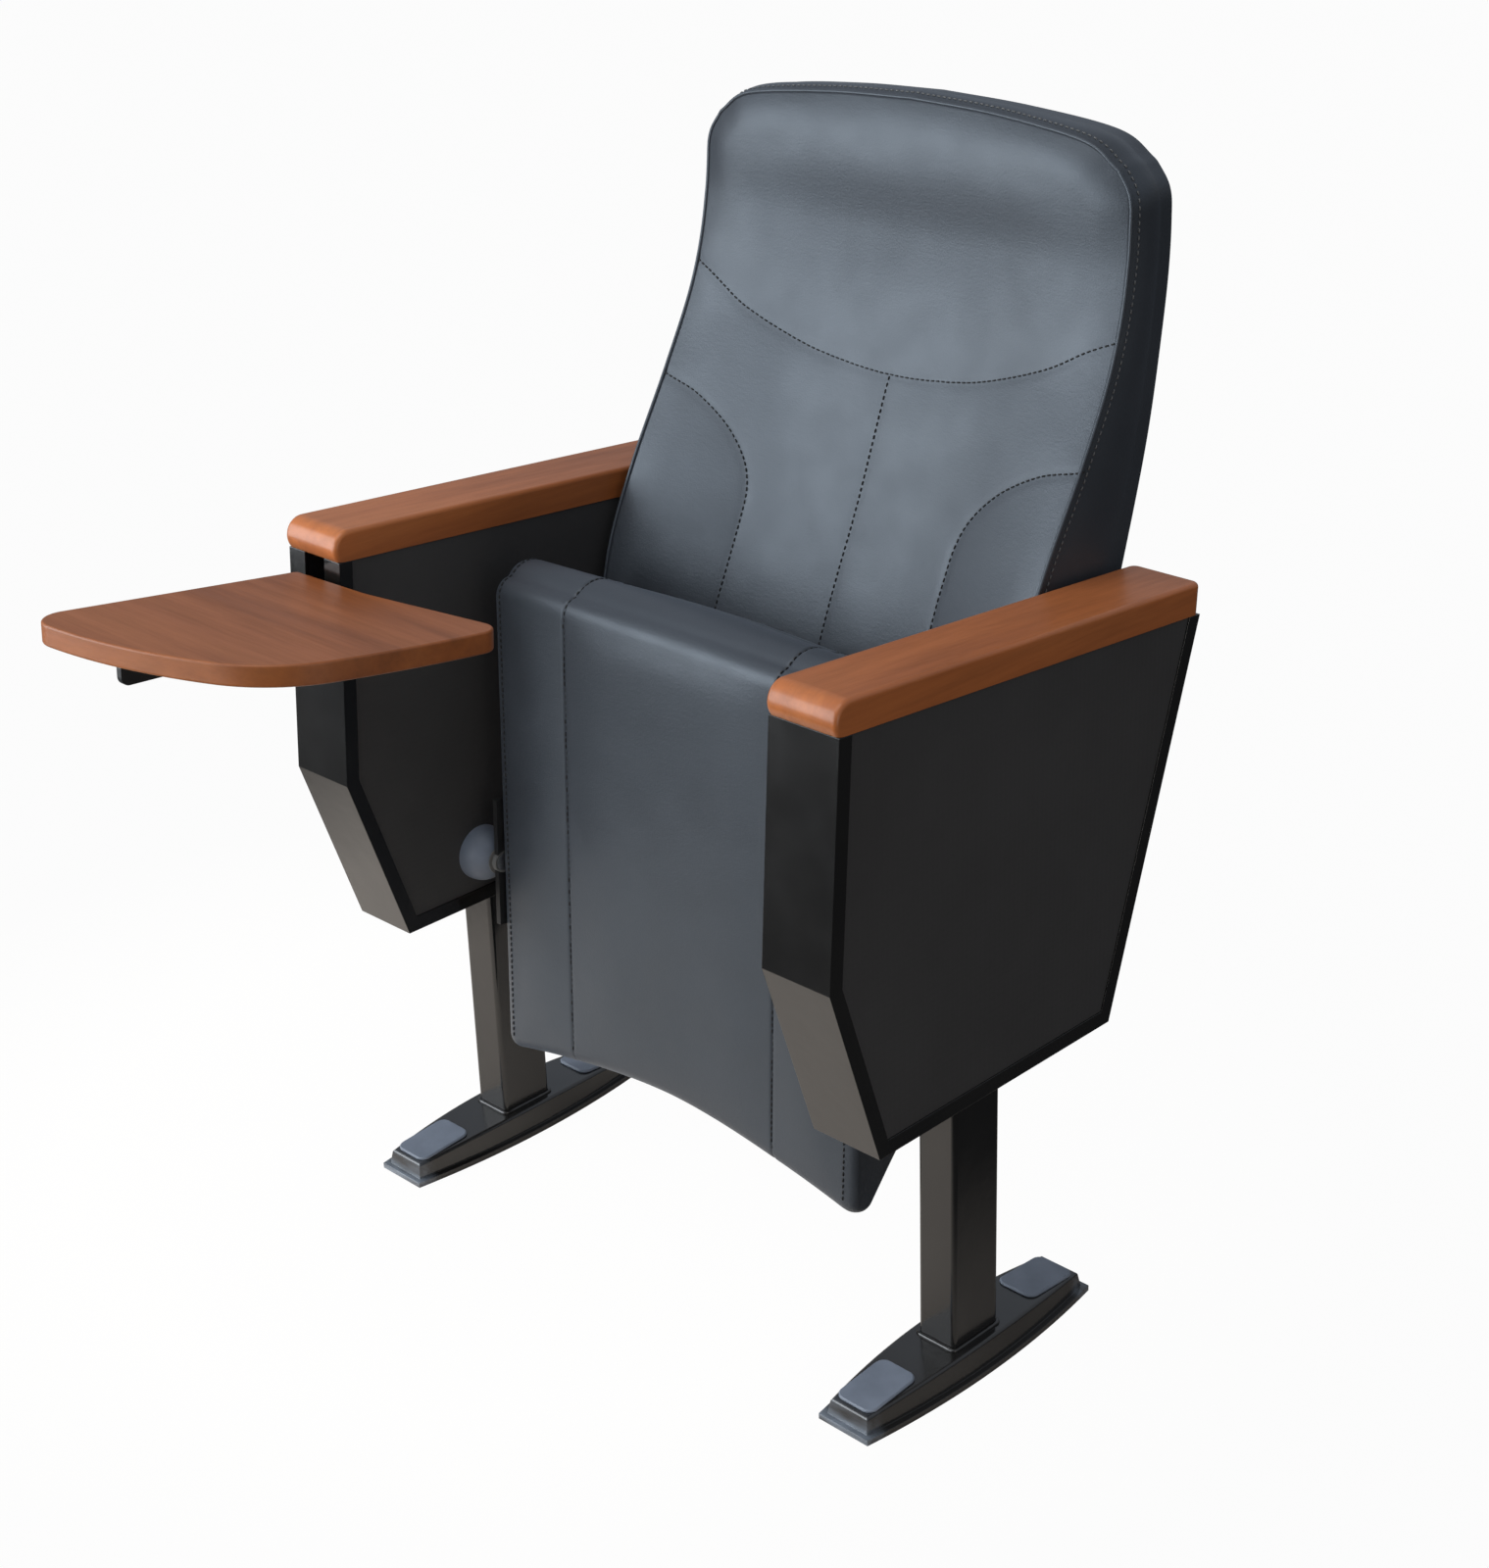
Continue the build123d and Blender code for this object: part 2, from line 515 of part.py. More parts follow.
def hinge_plate():
    """Slotted steel sector on the seat's side; the stop peg runs in its slot."""
    start = STOP_ANGLE + SEAT_LEAN
    end = start - TIP_TRAVEL
    reach = SLEEVE_R + FIT
    outline = Circle(HINGE_PLATE_R) & Pos(HINGE_PLATE_R - SEAT_UNDER + FIT, 0) * Rectangle(
        2 * HINGE_PLATE_R, 2 * HINGE_PLATE_R
    )
    slot = Circle(STOP_REACH + reach) - Circle(STOP_REACH - reach)
    spread = Polygon(
        (0, 0),
        *[
            (2 * HINGE_PLATE_R * cos(radians(a)), 2 * HINGE_PLATE_R * sin(radians(a)))
            for a in (end, (start + end) / 2, start)
        ],
        align=None,
    )
    slot = slot & spread
    for angle in (start, end):
        slot += Pos(STOP_REACH * cos(radians(angle)), STOP_REACH * sin(radians(angle))) * Circle(reach)
    face = outline - slot - Circle(BUSH_R)
    for w, u in hinge_screw_spots():
        face -= Pos(w, u) * Circle(SCREW_R)
    plate = slab(face, HINGE_PLATE_X, HINGE_PLATE_X + HINGE_PLATE_THICK)
    return seat_local(plate)


def hinge_screw_spots():
    """Screws of the hinge plate, as places through the seat and along it."""
    return [(reach * cos(radians(turn)), reach * sin(radians(turn))) for reach, turn in HINGE_SCREW_SPOTS]


def hinge_screws():
    """Screws that hold the hinge plate to the hardwood cleat, heads outside."""
    outside = HINGE_PLATE_X + HINGE_PLATE_THICK
    screws = []
    for w, u in hinge_screw_spots():
        screw = Rotation(0, -90, 0) * wood_screw(HINGE_SCREW)
        screws.append(seat_local(Pos(outside, w, u) * screw))
    return screws


def bush():
    """Flanged nylon bush pressed into the hinge plate."""
    bore = PIN_R + PIN_GAP
    sleeve = hinge_rod(BUSH_R, HINGE_PLATE_X, BUSH_END_X) + hinge_rod(
        BUSH_FLANGE_R, BUSH_END_X - BUSH_FLANGE, BUSH_END_X
    )
    return sleeve - hinge_rod(bore, HINGE_PLATE_X - 1, BUSH_END_X + 1)


# ------------------------------------------------------------------ padded seat
def seat_section(x, pull, notch):
    """Side view of the padded seat at one place across it."""
    low = -SEAT_UNDER + pull
    crown = SEAT_CROWN * (1 - (x / SEAT_HALF_WIDTH) ** 2)
    high = SEAT_THICK - SEAT_UNDER + crown - SEAT_CROWN - pull
    tip = SEAT_NOSE_RISE - pull
    tail = -SEAT_TAIL_DROP + notch + pull
    shoulder = tip - NOSE_CROWN
    bend = 1 - cos(radians(45))
    under = Line((low, tail + TAIL_CORNER), (low, shoulder - NOSE_CORNER))
    front = ThreePointArc(
        (low, shoulder - NOSE_CORNER),
        (low + NOSE_CORNER * bend, shoulder - NOSE_CORNER * bend),
        (low + NOSE_CORNER, shoulder),
    )
    roll = ThreePointArc(
        (low + NOSE_CORNER, shoulder),
        ((low + NOSE_CORNER + high - NOSE_BACK_CORNER) / 2, tip),
        (high - NOSE_BACK_CORNER, shoulder),
    )
    turn = ThreePointArc(
        (high - NOSE_BACK_CORNER, shoulder),
        (high - NOSE_BACK_CORNER * bend, shoulder - NOSE_BACK_CORNER * bend),
        (high, shoulder - NOSE_BACK_CORNER),
    )
    sitting = Line((high, shoulder - NOSE_BACK_CORNER), (high, tail + SEAT_TAIL_SLANT))
    slant = Line((high, tail + SEAT_TAIL_SLANT), (low + TAIL_CORNER, tail))
    heel = ThreePointArc(
        (low + TAIL_CORNER, tail),
        (low + TAIL_CORNER * bend, tail + TAIL_CORNER * bend),
        (low, tail + TAIL_CORNER),
    )
    return Plane.YZ.offset(x) * make_face(under + front + roll + turn + sitting + slant + heel)


def seat_body():
    """The whole padded seat: crowned across, drawn in at its sides, with longer rear corners."""
    half = SEAT_HALF_WIDTH
    wings = [
        (half, SIDE_PULL, EAR_ROUND),
        (half - SIDE_PULL * 0.3, SIDE_PULL * 0.5, EAR_ROUND * 0.6),
        (half - SIDE_PULL, SIDE_PULL * 0.17, EAR_ROUND * 0.3),
        (half - 2.5 * SIDE_PULL, 0, 0),
        (half - NOTCH_START, 0, 0),
        (half - NOTCH_END, 0, SEAT_TAIL_NOTCH),
        (half / 4, 0, SEAT_TAIL_NOTCH),
    ]
    stations = [(-x, pull, notch) for x, pull, notch in wings] + wings[::-1]
    body = loft([seat_section(*station) for station in stations], ruled=True)
    for x in (-SEAT_SEAM_X, SEAT_SEAM_X):
        body -= seam_groove(x)
    return body


def seam_groove(x):
    """A sewn channel: a ring one stitch wide that bites into the seat by the seam's depth."""
    face = seat_section(x, 0, SEAT_TAIL_NOTCH)
    ring = offset(face, 2 * SEAM_DEPTH) - offset(face, -SEAM_DEPTH)
    return extrude(ring, amount=SEAM_WIDTH / 2, both=True)


def seat_board(gap=0.0):
    """Plywood board with a hardwood cleat along each side at the hinge."""
    base = SEAT_PAD_UNDER - SEAT_UNDER
    board = block(
        (-SEAT_BOARD_HALF - gap, base - gap, -SEAT_BOARD_REAR - gap),
        (SEAT_BOARD_HALF + gap, base + SEAT_BOARD_THICK + gap, SEAT_BOARD_FRONT + gap),
    )
    for side in (-1, 1):
        ends = sorted((side * (SEAT_BOARD_HALF - gap), side * (SEAT_BOARD_HALF + CLEAT_WIDTH + gap)))
        board += block(
            (ends[0], CLEAT_LOW - gap, -CLEAT_REAR - gap),
            (ends[1], CLEAT_LOW + CLEAT_HEIGHT + gap, CLEAT_FRONT + gap),
        )
    return board


def seat_cushion(screws):
    """Foam and cover round the board, with a hole for each hinge plate screw."""
    cushion = seat_local(seat_body() - seat_board(FIT))
    for screw in screws:
        middle = screw.bounding_box().center()
        cushion -= Pos(*middle) * Box(2 * HINGE_SCREW, 3 * SCREW_R, 3 * SCREW_R)
    return cushion


# ------------------------------------------------------------------ padded back
def back_section(station, inset):
    """Plan of the back at one height: flat rear, bulging sides, two bolsters and a dished middle."""
    height, edge_y, middle_y, rear_y, narrowing = station
    half = BACK_HALF_WIDTH - GUSSET_BULGE - narrowing - inset
    inner = half - BOLSTER_INSET
    rear = rear_y - inset
    shoulder_y = middle_y - BOLSTER_LIP * (middle_y - edge_y) / BOLSTER_INSET
    mean_x = (half + inner) / 2
    mean_y = (edge_y + shoulder_y) / 2 - BOLSTER_CROWN
    bulge = half + GUSSET_BULGE
    plan = Line((half, rear), (-half, rear))
    plan += ThreePointArc((-half, rear), (-bulge, (rear + edge_y) / 2), (-half, edge_y))
    plan += ThreePointArc((-half, edge_y), (-mean_x, mean_y), (-inner, shoulder_y))
    plan += ThreePointArc((-inner, shoulder_y), (0, middle_y), (inner, shoulder_y))
    plan += ThreePointArc((inner, shoulder_y), (mean_x, mean_y), (half, edge_y))
    plan += ThreePointArc((half, edge_y), (bulge, (rear + edge_y) / 2), (half, rear))
    return Plane.XY.offset(height) * make_face(plan)


def back_outline(inset=0.0):
    """Front view of the back: upright sides and a rounded head."""
    half = BACK_HALF_WIDTH - inset
    top = BACK_TOP_Z - inset
    foot_z = BACK_STATIONS[0][0] + inset
    side_z = top - BACK_CORNER_DROP
    shoulder = (half - BACK_CORNER_WIDTH, top - BACK_TOP_CROWN)
    bend = (half - BACK_CORNER_WIDTH * CORNER_BEND, top - BACK_TOP_CROWN - CORNER_FALL)
    view = Polyline((-half, side_z), (-half, foot_z), (half, foot_z), (half, side_z))
    view += ThreePointArc((half, side_z), bend, shoulder)
    view += ThreePointArc(shoulder, (0, top), (-shoulder[0], shoulder[1]))
    view += ThreePointArc((-shoulder[0], shoulder[1]), (-bend[0], bend[1]), (-half, side_z))
    reach = 4 * BACK_HALF_WIDTH
    return extrude(Plane.XZ * make_face(view), amount=reach, both=True)


def back_body(inset=0.0):
    sections = [back_section(station, inset) for station in BACK_STATIONS]
    return loft(sections) & back_outline(inset)


def back_band(low, high):
    """Side view of the space between two curves that follow the rear of the back."""
    rear = [(station[3], station[0]) for station in BACK_STATIONS]
    near = Spline(*[(y + low, z) for y, z in rear])
    far = Spline(*[(y + high, z) for y, z in rear])
    return make_face(near + far + Line(near @ 0, far @ 0) + Line(near @ 1, far @ 1))


def seam_wall(points, body):
    """A sewn channel along a line seen from the front, cut into the front skin of the back."""
    path = Spline(*points)
    strip = extrude(Plane.XZ * trace(path, SEAM_WIDTH), amount=BACK_TOP_Z, both=True)
    skin = body - Pos(0, SEAM_DEPTH, 0) * body
    return strip & skin


def back_cushion(whole):
    """Foam and cover: the whole back, less the room for its board and the rear cover."""
    reach = 2 * BACK_HALF_WIDTH
    cushion = whole - slab(back_band(BOARD_REAR + FIT, BACK_TOP_Z), -reach, reach)
    cushion -= back_board(FIT)
    for seam in BACK_SEAMS:
        cushion -= seam_wall(seam, whole)
        if seam[0][0] > 0:
            cushion -= seam_wall([(-x, z) for x, z in seam], whole)
    return cushion


def back_board(gap=0.0):
    """Moulded plywood that follows the rear of the back."""
    half = BACK_HALF_WIDTH - BACK_BOARD_INSET + gap
    band = slab(back_band(BOARD_REAR - BACK_BOARD_THICK - gap, BOARD_REAR + gap), -half, half)
    return band & back_outline(BACK_BOARD_INSET - gap)


def back_rear_cover(whole):
    """Thin moulded cover behind the board, notched for the brackets, on four screw pillars."""
    reach = 2 * BACK_HALF_WIDTH
    behind = slab(back_band(BOARD_REAR + 2 * FIT, BACK_TOP_Z), -reach, reach)
    cover = (whole & behind) - back_body(COVER_WALL)
    low_z = BRACKET_Z - BRACKET_HEIGHT / 2 - 2 * FIT
    high_z = BRACKET_Z + BRACKET_HEIGHT / 2 + 2 * FIT
    slit = slab(back_band(BOARD_REAR - FIT, BOARD_REAR + BRACKET_THICK + 4 * FIT), -reach, reach)
    notch = slit & block((BACK_HALF_WIDTH - BACK_BOARD_INSET, 0, low_z), (reach, BACK_TOP_Z, high_z))
    cover -= notch
    cover -= other_side(notch)
    room = whole & behind
    for x, z in cover_screw_spots():
        pillar = Plane.XZ * Pos(x, z) * Circle(COVER_BOSS_R)
        cover += extrude(pillar, amount=-BACK_TOP_Z) & room
    for x, z in cover_screw_spots():
        spot = Pos(x, station_at(z, 3) - COVER_WALL, z) * Rotation(90, 0, 0)
        cover -= spot * Cylinder(SCREW_R, BACK_TOP_Z)
        recess = Cylinder(SCREW_HEAD_R + FIT, BACK_TOP_Z, align=(Align.CENTER, Align.CENTER, Align.MAX))
        cover -= spot * recess
    return cover


def cover_screw_spots():
    return [(side * x, z) for x, z in COVER_SCREWS for side in (-1, 1)]


def cover_screws():
    """Screws sunk into the rear cover, through its pillars and into the board."""
    screws = []
    for x, z in cover_screw_spots():
        spot = Pos(x, station_at(z, 3) - COVER_WALL, z)
        screws.append(spot * Rotation(90, 0, 0) * wood_screw(COVER_SCREW))
    return screws


def station_at(z, column):
    """A value of the back's stations at a height between two of them."""
    for low, high in zip(BACK_STATIONS, BACK_STATIONS[1:]):
        if z <= high[0]:
            share = (z - low[0]) / (high[0] - low[0])
            return low[column] + share * (high[column] - low[column])
    return BACK_STATIONS[-1][column]


def back_bracket():
    """Angle bracket: one leg bolted to the arm box, the other screwed behind the board."""
    low_z = BRACKET_Z - BRACKET_HEIGHT / 2
    high_z = BRACKET_Z + BRACKET_HEIGHT / 2
    outer = FIELD_IN_X - FIT
    bearing = BOARD_REAR + FIT
    reach = back_band(bearing - BRACKET_REACH, bearing + BRACKET_THICK)
    leg = slab(reach, outer - BRACKET_THICK, outer)
    wing = slab(back_band(bearing, bearing + BRACKET_THICK), outer - BRACKET_LEG, outer)
    bracket = (leg + wing) & block((0, 0, low_z), (2 * outer, 2 * BACK_TOP_Z, high_z))
    for y, z in bolt_spots():
        bracket -= rod(BOLT_R, outer - 2 * BRACKET_THICK, outer + 1, y, z)
    for screw in board_screws():
        bracket -= screw
    return bracket


def bolt_spots():
    """Two bolts on the leaning line of the back's lower half."""
    spots = []
    for z in (BRACKET_Z - BOLT_SPACING / 2, BRACKET_Z + BOLT_SPACING / 2):
        spots.append((station_at(z, 3) + BOARD_REAR - BRACKET_REACH / 2, z))
    return spots


def bracket_bolts():
    """Bolts from inside the side gap through the board of the arm box into the nut plate."""
    outer = FIELD_IN_X - FIT
    inner = outer - BRACKET_THICK
    end = PANEL_BACK_X + FIT + NUT_PLATE_THICK
    bolts = []
    for y, z in bolt_spots():
        bolts.append(rod(BOLT_R, inner, end, y, z) + rod(BOLT_HEAD_R, inner - BOLT_HEAD, inner, y, z))
    return bolts


def nut_plate():
    """Plate behind the board of the arm box that the bracket's bolts screw into."""
    (low_y, low_z), (high_y, high_z) = bolt_spots()
    start = PANEL_BACK_X + FIT
    plate = block(
        (start, low_y - NUT_PLATE_EDGE, low_z - NUT_PLATE_EDGE),
        (start + NUT_PLATE_THICK, high_y + NUT_PLATE_EDGE, high_z + NUT_PLATE_EDGE),
    )
    for y, z in bolt_spots():
        plate -= rod(BOLT_R, start - 1, start + NUT_PLATE_THICK + 1, y, z)
    return plate


def board_screws():
    """Screws from the bracket's rear leg into the board of the back."""
    bearing = BOARD_REAR + FIT + BRACKET_THICK
    foot_station, next_station = BACK_STATIONS[:2]
    lean = degrees(atan2(next_station[3] - foot_station[3], next_station[0] - foot_station[0]))
    screws = []
    for x in BOARD_SCREW_PLACES:
        for z in (BRACKET_Z - BOLT_SPACING / 2, BRACKET_Z + BOLT_SPACING / 2):
            spot = Pos(FIELD_IN_X - x, station_at(z, 3) + bearing + FIT, z)
            screws.append(spot * Rotation(90 - lean, 0, 0) * wood_screw(BOARD_SCREW))
    return screws


# ------------------------------------------------------------------ writing tablet, sitter's right
def tablet_outline():
    """The board seen from above: forward along x, inward along y."""
    corners = (
        TABLET_REAR_OUTER,
        TABLET_FRONT_OUTER,
        TABLET_FRONT_INNER,
        TABLET_REAR_INNER,
        TABLET_REAR_BEND,
    )
    view = Line(TABLET_REAR_OUTER, TABLET_FRONT_OUTER)
    view += ThreePointArc(TABLET_FRONT_OUTER, TABLET_FRONT_BOW, TABLET_FRONT_INNER)
    view += ThreePointArc(TABLET_FRONT_INNER, TABLET_SIDE_BOW, TABLET_REAR_INNER)
    view += Line(TABLET_REAR_INNER, TABLET_REAR_BEND)
    view += Line(TABLET_REAR_BEND, TABLET_REAR_OUTER)
    face = make_face(view)
    for corner, radius in zip(corners, TABLET_RADII):
        face = fillet(face.vertices().sort_by_distance((*corner, 0))[0], radius)
    return face


def tablet_board(screws):
    board = extrude(tablet_outline(), amount=TABLET_THICK)
    rims = board.faces().filter_by(Axis.Z).edges()
    board = TABLET_SPACE * Pos(0, 0, BOARD_UNDER) * fillet(rims, TABLET_EDGE)
    for screw in screws:
        board -= screw
    return board


def along_hinge(profile, start, length):
    """A profile drawn across the tablet's hinge line (inward, up), run forward along it."""
    face = Plane(origin=(start, FLIP_INWARD, FLIP_LIFT), x_dir=(0, 1, 0), z_dir=(1, 0, 0)) * profile
    return TABLET_SPACE * extrude(face, amount=length)


def rectangle(low, high):
    """A flat rectangle between two opposite corners."""
    middle = Pos((low[0] + high[0]) / 2, (low[1] + high[1]) / 2)
    return middle * Rectangle(high[0] - low[0], high[1] - low[1])


def tablet_leaf(start):
    """Leaf screwed under the board, with one knuckle in the middle of its length."""
    third = LEAF_LENGTH / 3
    plate = rectangle((KNUCKLE_R + 1, FLIP_DROP - LEAF_THICK), (LEAF_WIDTH, FLIP_DROP))
    neck = rectangle((0, FLIP_DROP - LEAF_THICK), (LEAF_WIDTH / 2, FLIP_DROP)) + Circle(KNUCKLE_R)
    leaf = along_hinge(plate, start, LEAF_LENGTH)
    leaf += along_hinge(neck, start + third + FIT, third - 2 * FIT)
    return leaf - along_hinge(Circle(HINGE_PIN_R + PIN_GAP), start, LEAF_LENGTH)


def tablet_leaf_screws():
    """Screws up through the leaves into the board."""
    screws = []
    for start in LEAF_PLACES:
        for forward in (start + LEAF_LENGTH / 4, start + LEAF_LENGTH * 3 / 4):
            for inward in LEAF_SCREWS:
                spot = Pos(forward, FLIP_INWARD + inward, BOARD_UNDER - LEAF_THICK)
                screws.append(TABLET_SPACE * spot * wood_screw(TABLET_SCREW))
    return screws


def tablet_arm():
    """Flat bar with the fixed knuckles of both hinges and the rest under the board."""
    bar = block((-ARM_BAR_BACK, BAR_OUT, BAR_BOTTOM), (ARM_BAR_FRONT, BAR_IN, BAR_TOP))
    bar = fillet(bar.edges().filter_by(Axis.Y), ARM_BAR_HEIGHT / 3)
    bore = Cylinder(SWING_PIN_R + PIN_GAP, 4 * ARM_BAR_HEIGHT)
    bar -= Pos(-SWING_BACK, BAR_OUT, SWING_LIFT) * Rotation(90, 0, 0) * bore
    arm = TABLET_SPACE * bar
    third = LEAF_LENGTH / 3
    web = rectangle((BAR_OUT - FLIP_INWARD, BAR_TOP - FLIP_LIFT - 1), (BAR_IN - FLIP_INWARD, 0))
    for place in LEAF_PLACES:
        for start in (place, place + 2 * third):
            arm += along_hinge(web + Circle(KNUCKLE_R), start, third)
    rest_top = FLIP_DROP - FIT
    low = BAR_IN - FLIP_INWARD
    upright = rectangle((low, BAR_BOTTOM - FLIP_LIFT), (low + TAB_THICK, rest_top))
    shelf = rectangle((low, rest_top - TAB_THICK), (TAB_REACH, rest_top))
    arm += along_hinge(upright + shelf, TAB_PLACE - TAB_WIDTH / 2, TAB_WIDTH)
    for place in LEAF_PLACES:
        arm -= along_hinge(Circle(HINGE_PIN_R), place, LEAF_LENGTH)
    return arm


def across(radius, low, high):
    """A round bar across the swing pin's line, from one inward place to another."""
    spot = Pos(-SWING_BACK, low, SWING_LIFT) * Rotation(-90, 0, 0)
    bar = Cylinder(radius, high - low, align=(Align.CENTER, Align.CENTER, Align.MIN))
    return TABLET_SPACE * spot * bar


def tablet_bracket():
    """Folded steel bracket inside the box: a slotted web on the front wall and two cheeks."""
    front = -CHANNEL_THICK - FIT
    wide = CHEEK_INNER + CHEEK_THICK
    floor = BAR_BOTTOM - FIT
    web = block((front - CHEEK_THICK, -wide, floor - CHEEK_EDGE), (front, wide, BAR_TOP + CHEEK_EDGE))
    web -= block((2 * front - CHEEK_THICK, -SLOT_WIDTH / 2, floor), (0, SLOT_WIDTH / 2, 0))
    bracket = web
    for side in (-1, 1):
        ends = sorted((side * CHEEK_INNER, side * wide))
        cheek = block((front - CHEEK_LENGTH, ends[0], floor), (front, ends[1], BAR_TOP + CHEEK_EDGE))
        bracket += cheek
    bracket = TABLET_SPACE * bracket
    return bracket - across(SWING_PIN_R, -2 * wide, 2 * wide)


def swing_pin():
    """Headed pin that carries the tablet's arm between the cheeks."""
    wide = CHEEK_INNER + CHEEK_THICK
    pin = across(SWING_PIN_R, -wide - SWING_HEAD, wide + SWING_HEAD)
    pin += across(SWING_HEAD_R, -wide - SWING_HEAD, -wide)
    return pin + across(SWING_HEAD_R, wide, wide + SWING_HEAD)


def swing_spacers():
    """Tubes that keep the arm in its place between the cheeks."""
    spacers = []
    for low, high in ((-CHEEK_INNER, BAR_OUT), (BAR_IN, CHEEK_INNER)):
        tube = across(SPACER_R, low + PIN_GAP, high - PIN_GAP)
        spacers.append(tube - across(SWING_PIN_R + PIN_GAP, low - 1, high + 1))
    return spacers


# ------------------------------------------------------------------ lid hinges, sitter's right
def along_lid(profile, start, length):
    """A profile across the lid's hinge line (inward, up), run back along it from a place."""
    face = Plane(origin=(-start - length, 0, 0), x_dir=(0, 1, 0), z_dir=(1, 0, 0)) * profile
    return LID_SPACE * extrude(face, amount=length)


def lid_leaf(start, up):
    """One leaf of a butt hinge: the lid's (up is 1) has the middle knuckle, the box's the others."""
    third = LID_LEAF_LENGTH / 3
    face_x = LID_KNUCKLE_R
    back_x = LID_KNUCKLE_R - LID_LEAF_THICK
    ends = sorted((up * LID_LEAF_START, up * LID_LEAF_HEIGHT))
    neck_ends = sorted((0, up * 2 * LID_LEAF_START))
    neck = rectangle((back_x, neck_ends[0]), (face_x, neck_ends[1])) + Circle(LID_KNUCKLE_R)
    leaf = along_lid(rectangle((back_x, ends[0]), (face_x, ends[1])), start, LID_LEAF_LENGTH)
    places = [start + third] if up > 0 else [start, start + 2 * third]
    for place in places:
        leaf += along_lid(neck, place + FIT, third - 2 * FIT)
    return leaf - along_lid(Circle(LID_PIN_R + PIN_GAP), start, LID_LEAF_LENGTH)


def both_sides(shapes):
    """The pieces of the sitter's left with their mirror images."""
    return Compound(children=list(shapes) + [other_side(shape) for shape in shapes])


def group(shapes):
    return Compound(children=list(shapes))


def mirrored(name, shape):
    """Write a piece for the sitter's left and its mirror image for the right."""
    parts[name + "_left"] = shape
    parts[name + "_right"] = other_side(shape)


# ------------------------------------------------------------------ the whole seat
frame = arm_frame()
slot_low = BAR_BOTTOM - FIT
slot = TABLET_SPACE * block((-LIP_DEPTH, -SLOT_WIDTH / 2, slot_low), (LIP_DEPTH, SLOT_WIDTH / 2, LIP_DEPTH))
parts["arm_frame_left"] = frame
parts["arm_frame_right"] = other_side(frame) - slot
mirrored("arm_panel_outer", side_panel(PANEL_OUT_X - PANEL_THICK, PANEL_OUT_X, BOX_OUTER_X - FIELD_SINK))
inner_panel = side_panel(PANEL_BACK_X, PANEL_IN_X, FIELD_IN_X)
inner_panel -= hinge_rod(PIN_R + FIT, BOX_INNER_X, BOX_MID_X)
inner_panel -= peg_rod(PEG_R + FIT, BOX_INNER_X, BOX_MID_X)
for bolt_y, bolt_z in bolt_spots():
    inner_panel -= rod(BOLT_R + FIT, BOX_INNER_X, BOX_MID_X, bolt_y, bolt_z)
mirrored("arm_panel_inner", inner_panel)

straps, strap_screws = armrest_fixings()
wooden_top = armrest()
parts["armrest_lid_right"] = other_side(wooden_top)
for strap_screw in strap_screws:
    wooden_top -= strap_screw
parts["armrest_left"] = wooden_top
parts["armrest_straps"] = group(straps)
parts["armrest_screws"] = group(strap_screws)

mirrored("post", post())
mirrored("foot", foot())
parts["foot_plugs"] = both_sides([plug(-1), plug(1)])

mirrored("pivot_plate", pivot_plate())
plate_face = PIVOT_PLATE_X + PIVOT_PLATE_THICK
pin_end = HINGE_PLATE_X + PIN_END_GAP
parts["pivot_pins"] = both_sides([hinge_rod(PIN_R, pin_end, plate_face)])
parts["stop_pegs"] = both_sides([peg_rod(PEG_R, HINGE_PLATE_X + BOSS_GAP, plate_face)])
sleeve = peg_rod(SLEEVE_R, HINGE_PLATE_X + BOSS_GAP, HINGE_PLATE_X + BOSS_GAP + SLEEVE_LENGTH)
parts["stop_sleeves"] = both_sides([sleeve - peg_rod(PEG_R, HINGE_PLATE_X, FIELD_IN_X)])
parts["pivot_bosses"] = both_sides([boss()])
parts["return_springs"] = both_sides([return_spring()])

plate_screws = hinge_screws()
all_plate_screws = plate_screws + [other_side(screw) for screw in plate_screws]
mirrored("hinge_plate", hinge_plate())
parts["pivot_bushes"] = both_sides([bush()])
parts["hinge_plate_screws"] = group(all_plate_screws)
parts["seat_cushion"] = seat_cushion(all_plate_screws)
board = seat_local(seat_board())
for plate_screw in all_plate_screws:
    board -= plate_screw
parts["seat_board"] = board

padded_back = back_body()
back_screws = board_screws()
all_back_screws = back_screws + [other_side(screw) for screw in back_screws]
rear_screws = cover_screws()
parts["back_cushion"] = back_cushion(padded_back)
back_plywood = back_board()
for back_screw in all_back_screws + rear_screws:
    back_plywood -= back_screw
parts["back_board"] = back_plywood
parts["back_rear_cover"] = back_rear_cover(padded_back)
parts["cover_screws"] = group(rear_screws)
mirrored("back_bracket", back_bracket())
parts["bracket_bolts"] = both_sides(bracket_bolts())
parts["back_nut_plates"] = both_sides([nut_plate()])
parts["board_screws"] = group(all_back_screws)

leaf_screws = tablet_leaf_screws()
parts["tablet_board"] = tablet_board(leaf_screws)
leaves = [tablet_leaf(place) for place in LEAF_PLACES]
for number, leaf in enumerate(leaves):
    for leaf_screw in leaf_screws:
        leaf -= leaf_screw
    leaves[number] = leaf
parts["tablet_hinge_leaves"] = group(leaves)
parts["tablet_screws"] = group(leaf_screws)
parts["tablet_arm"] = tablet_arm()
parts["tablet_hinge_pins"] = group(
    [along_hinge(Circle(HINGE_PIN_R), place, LEAF_LENGTH) for place in LEAF_PLACES]
)
parts["tablet_bracket"] = tablet_bracket()
parts["tablet_arm_pin"] = swing_pin()
parts["tablet_spacers"] = group(swing_spacers())

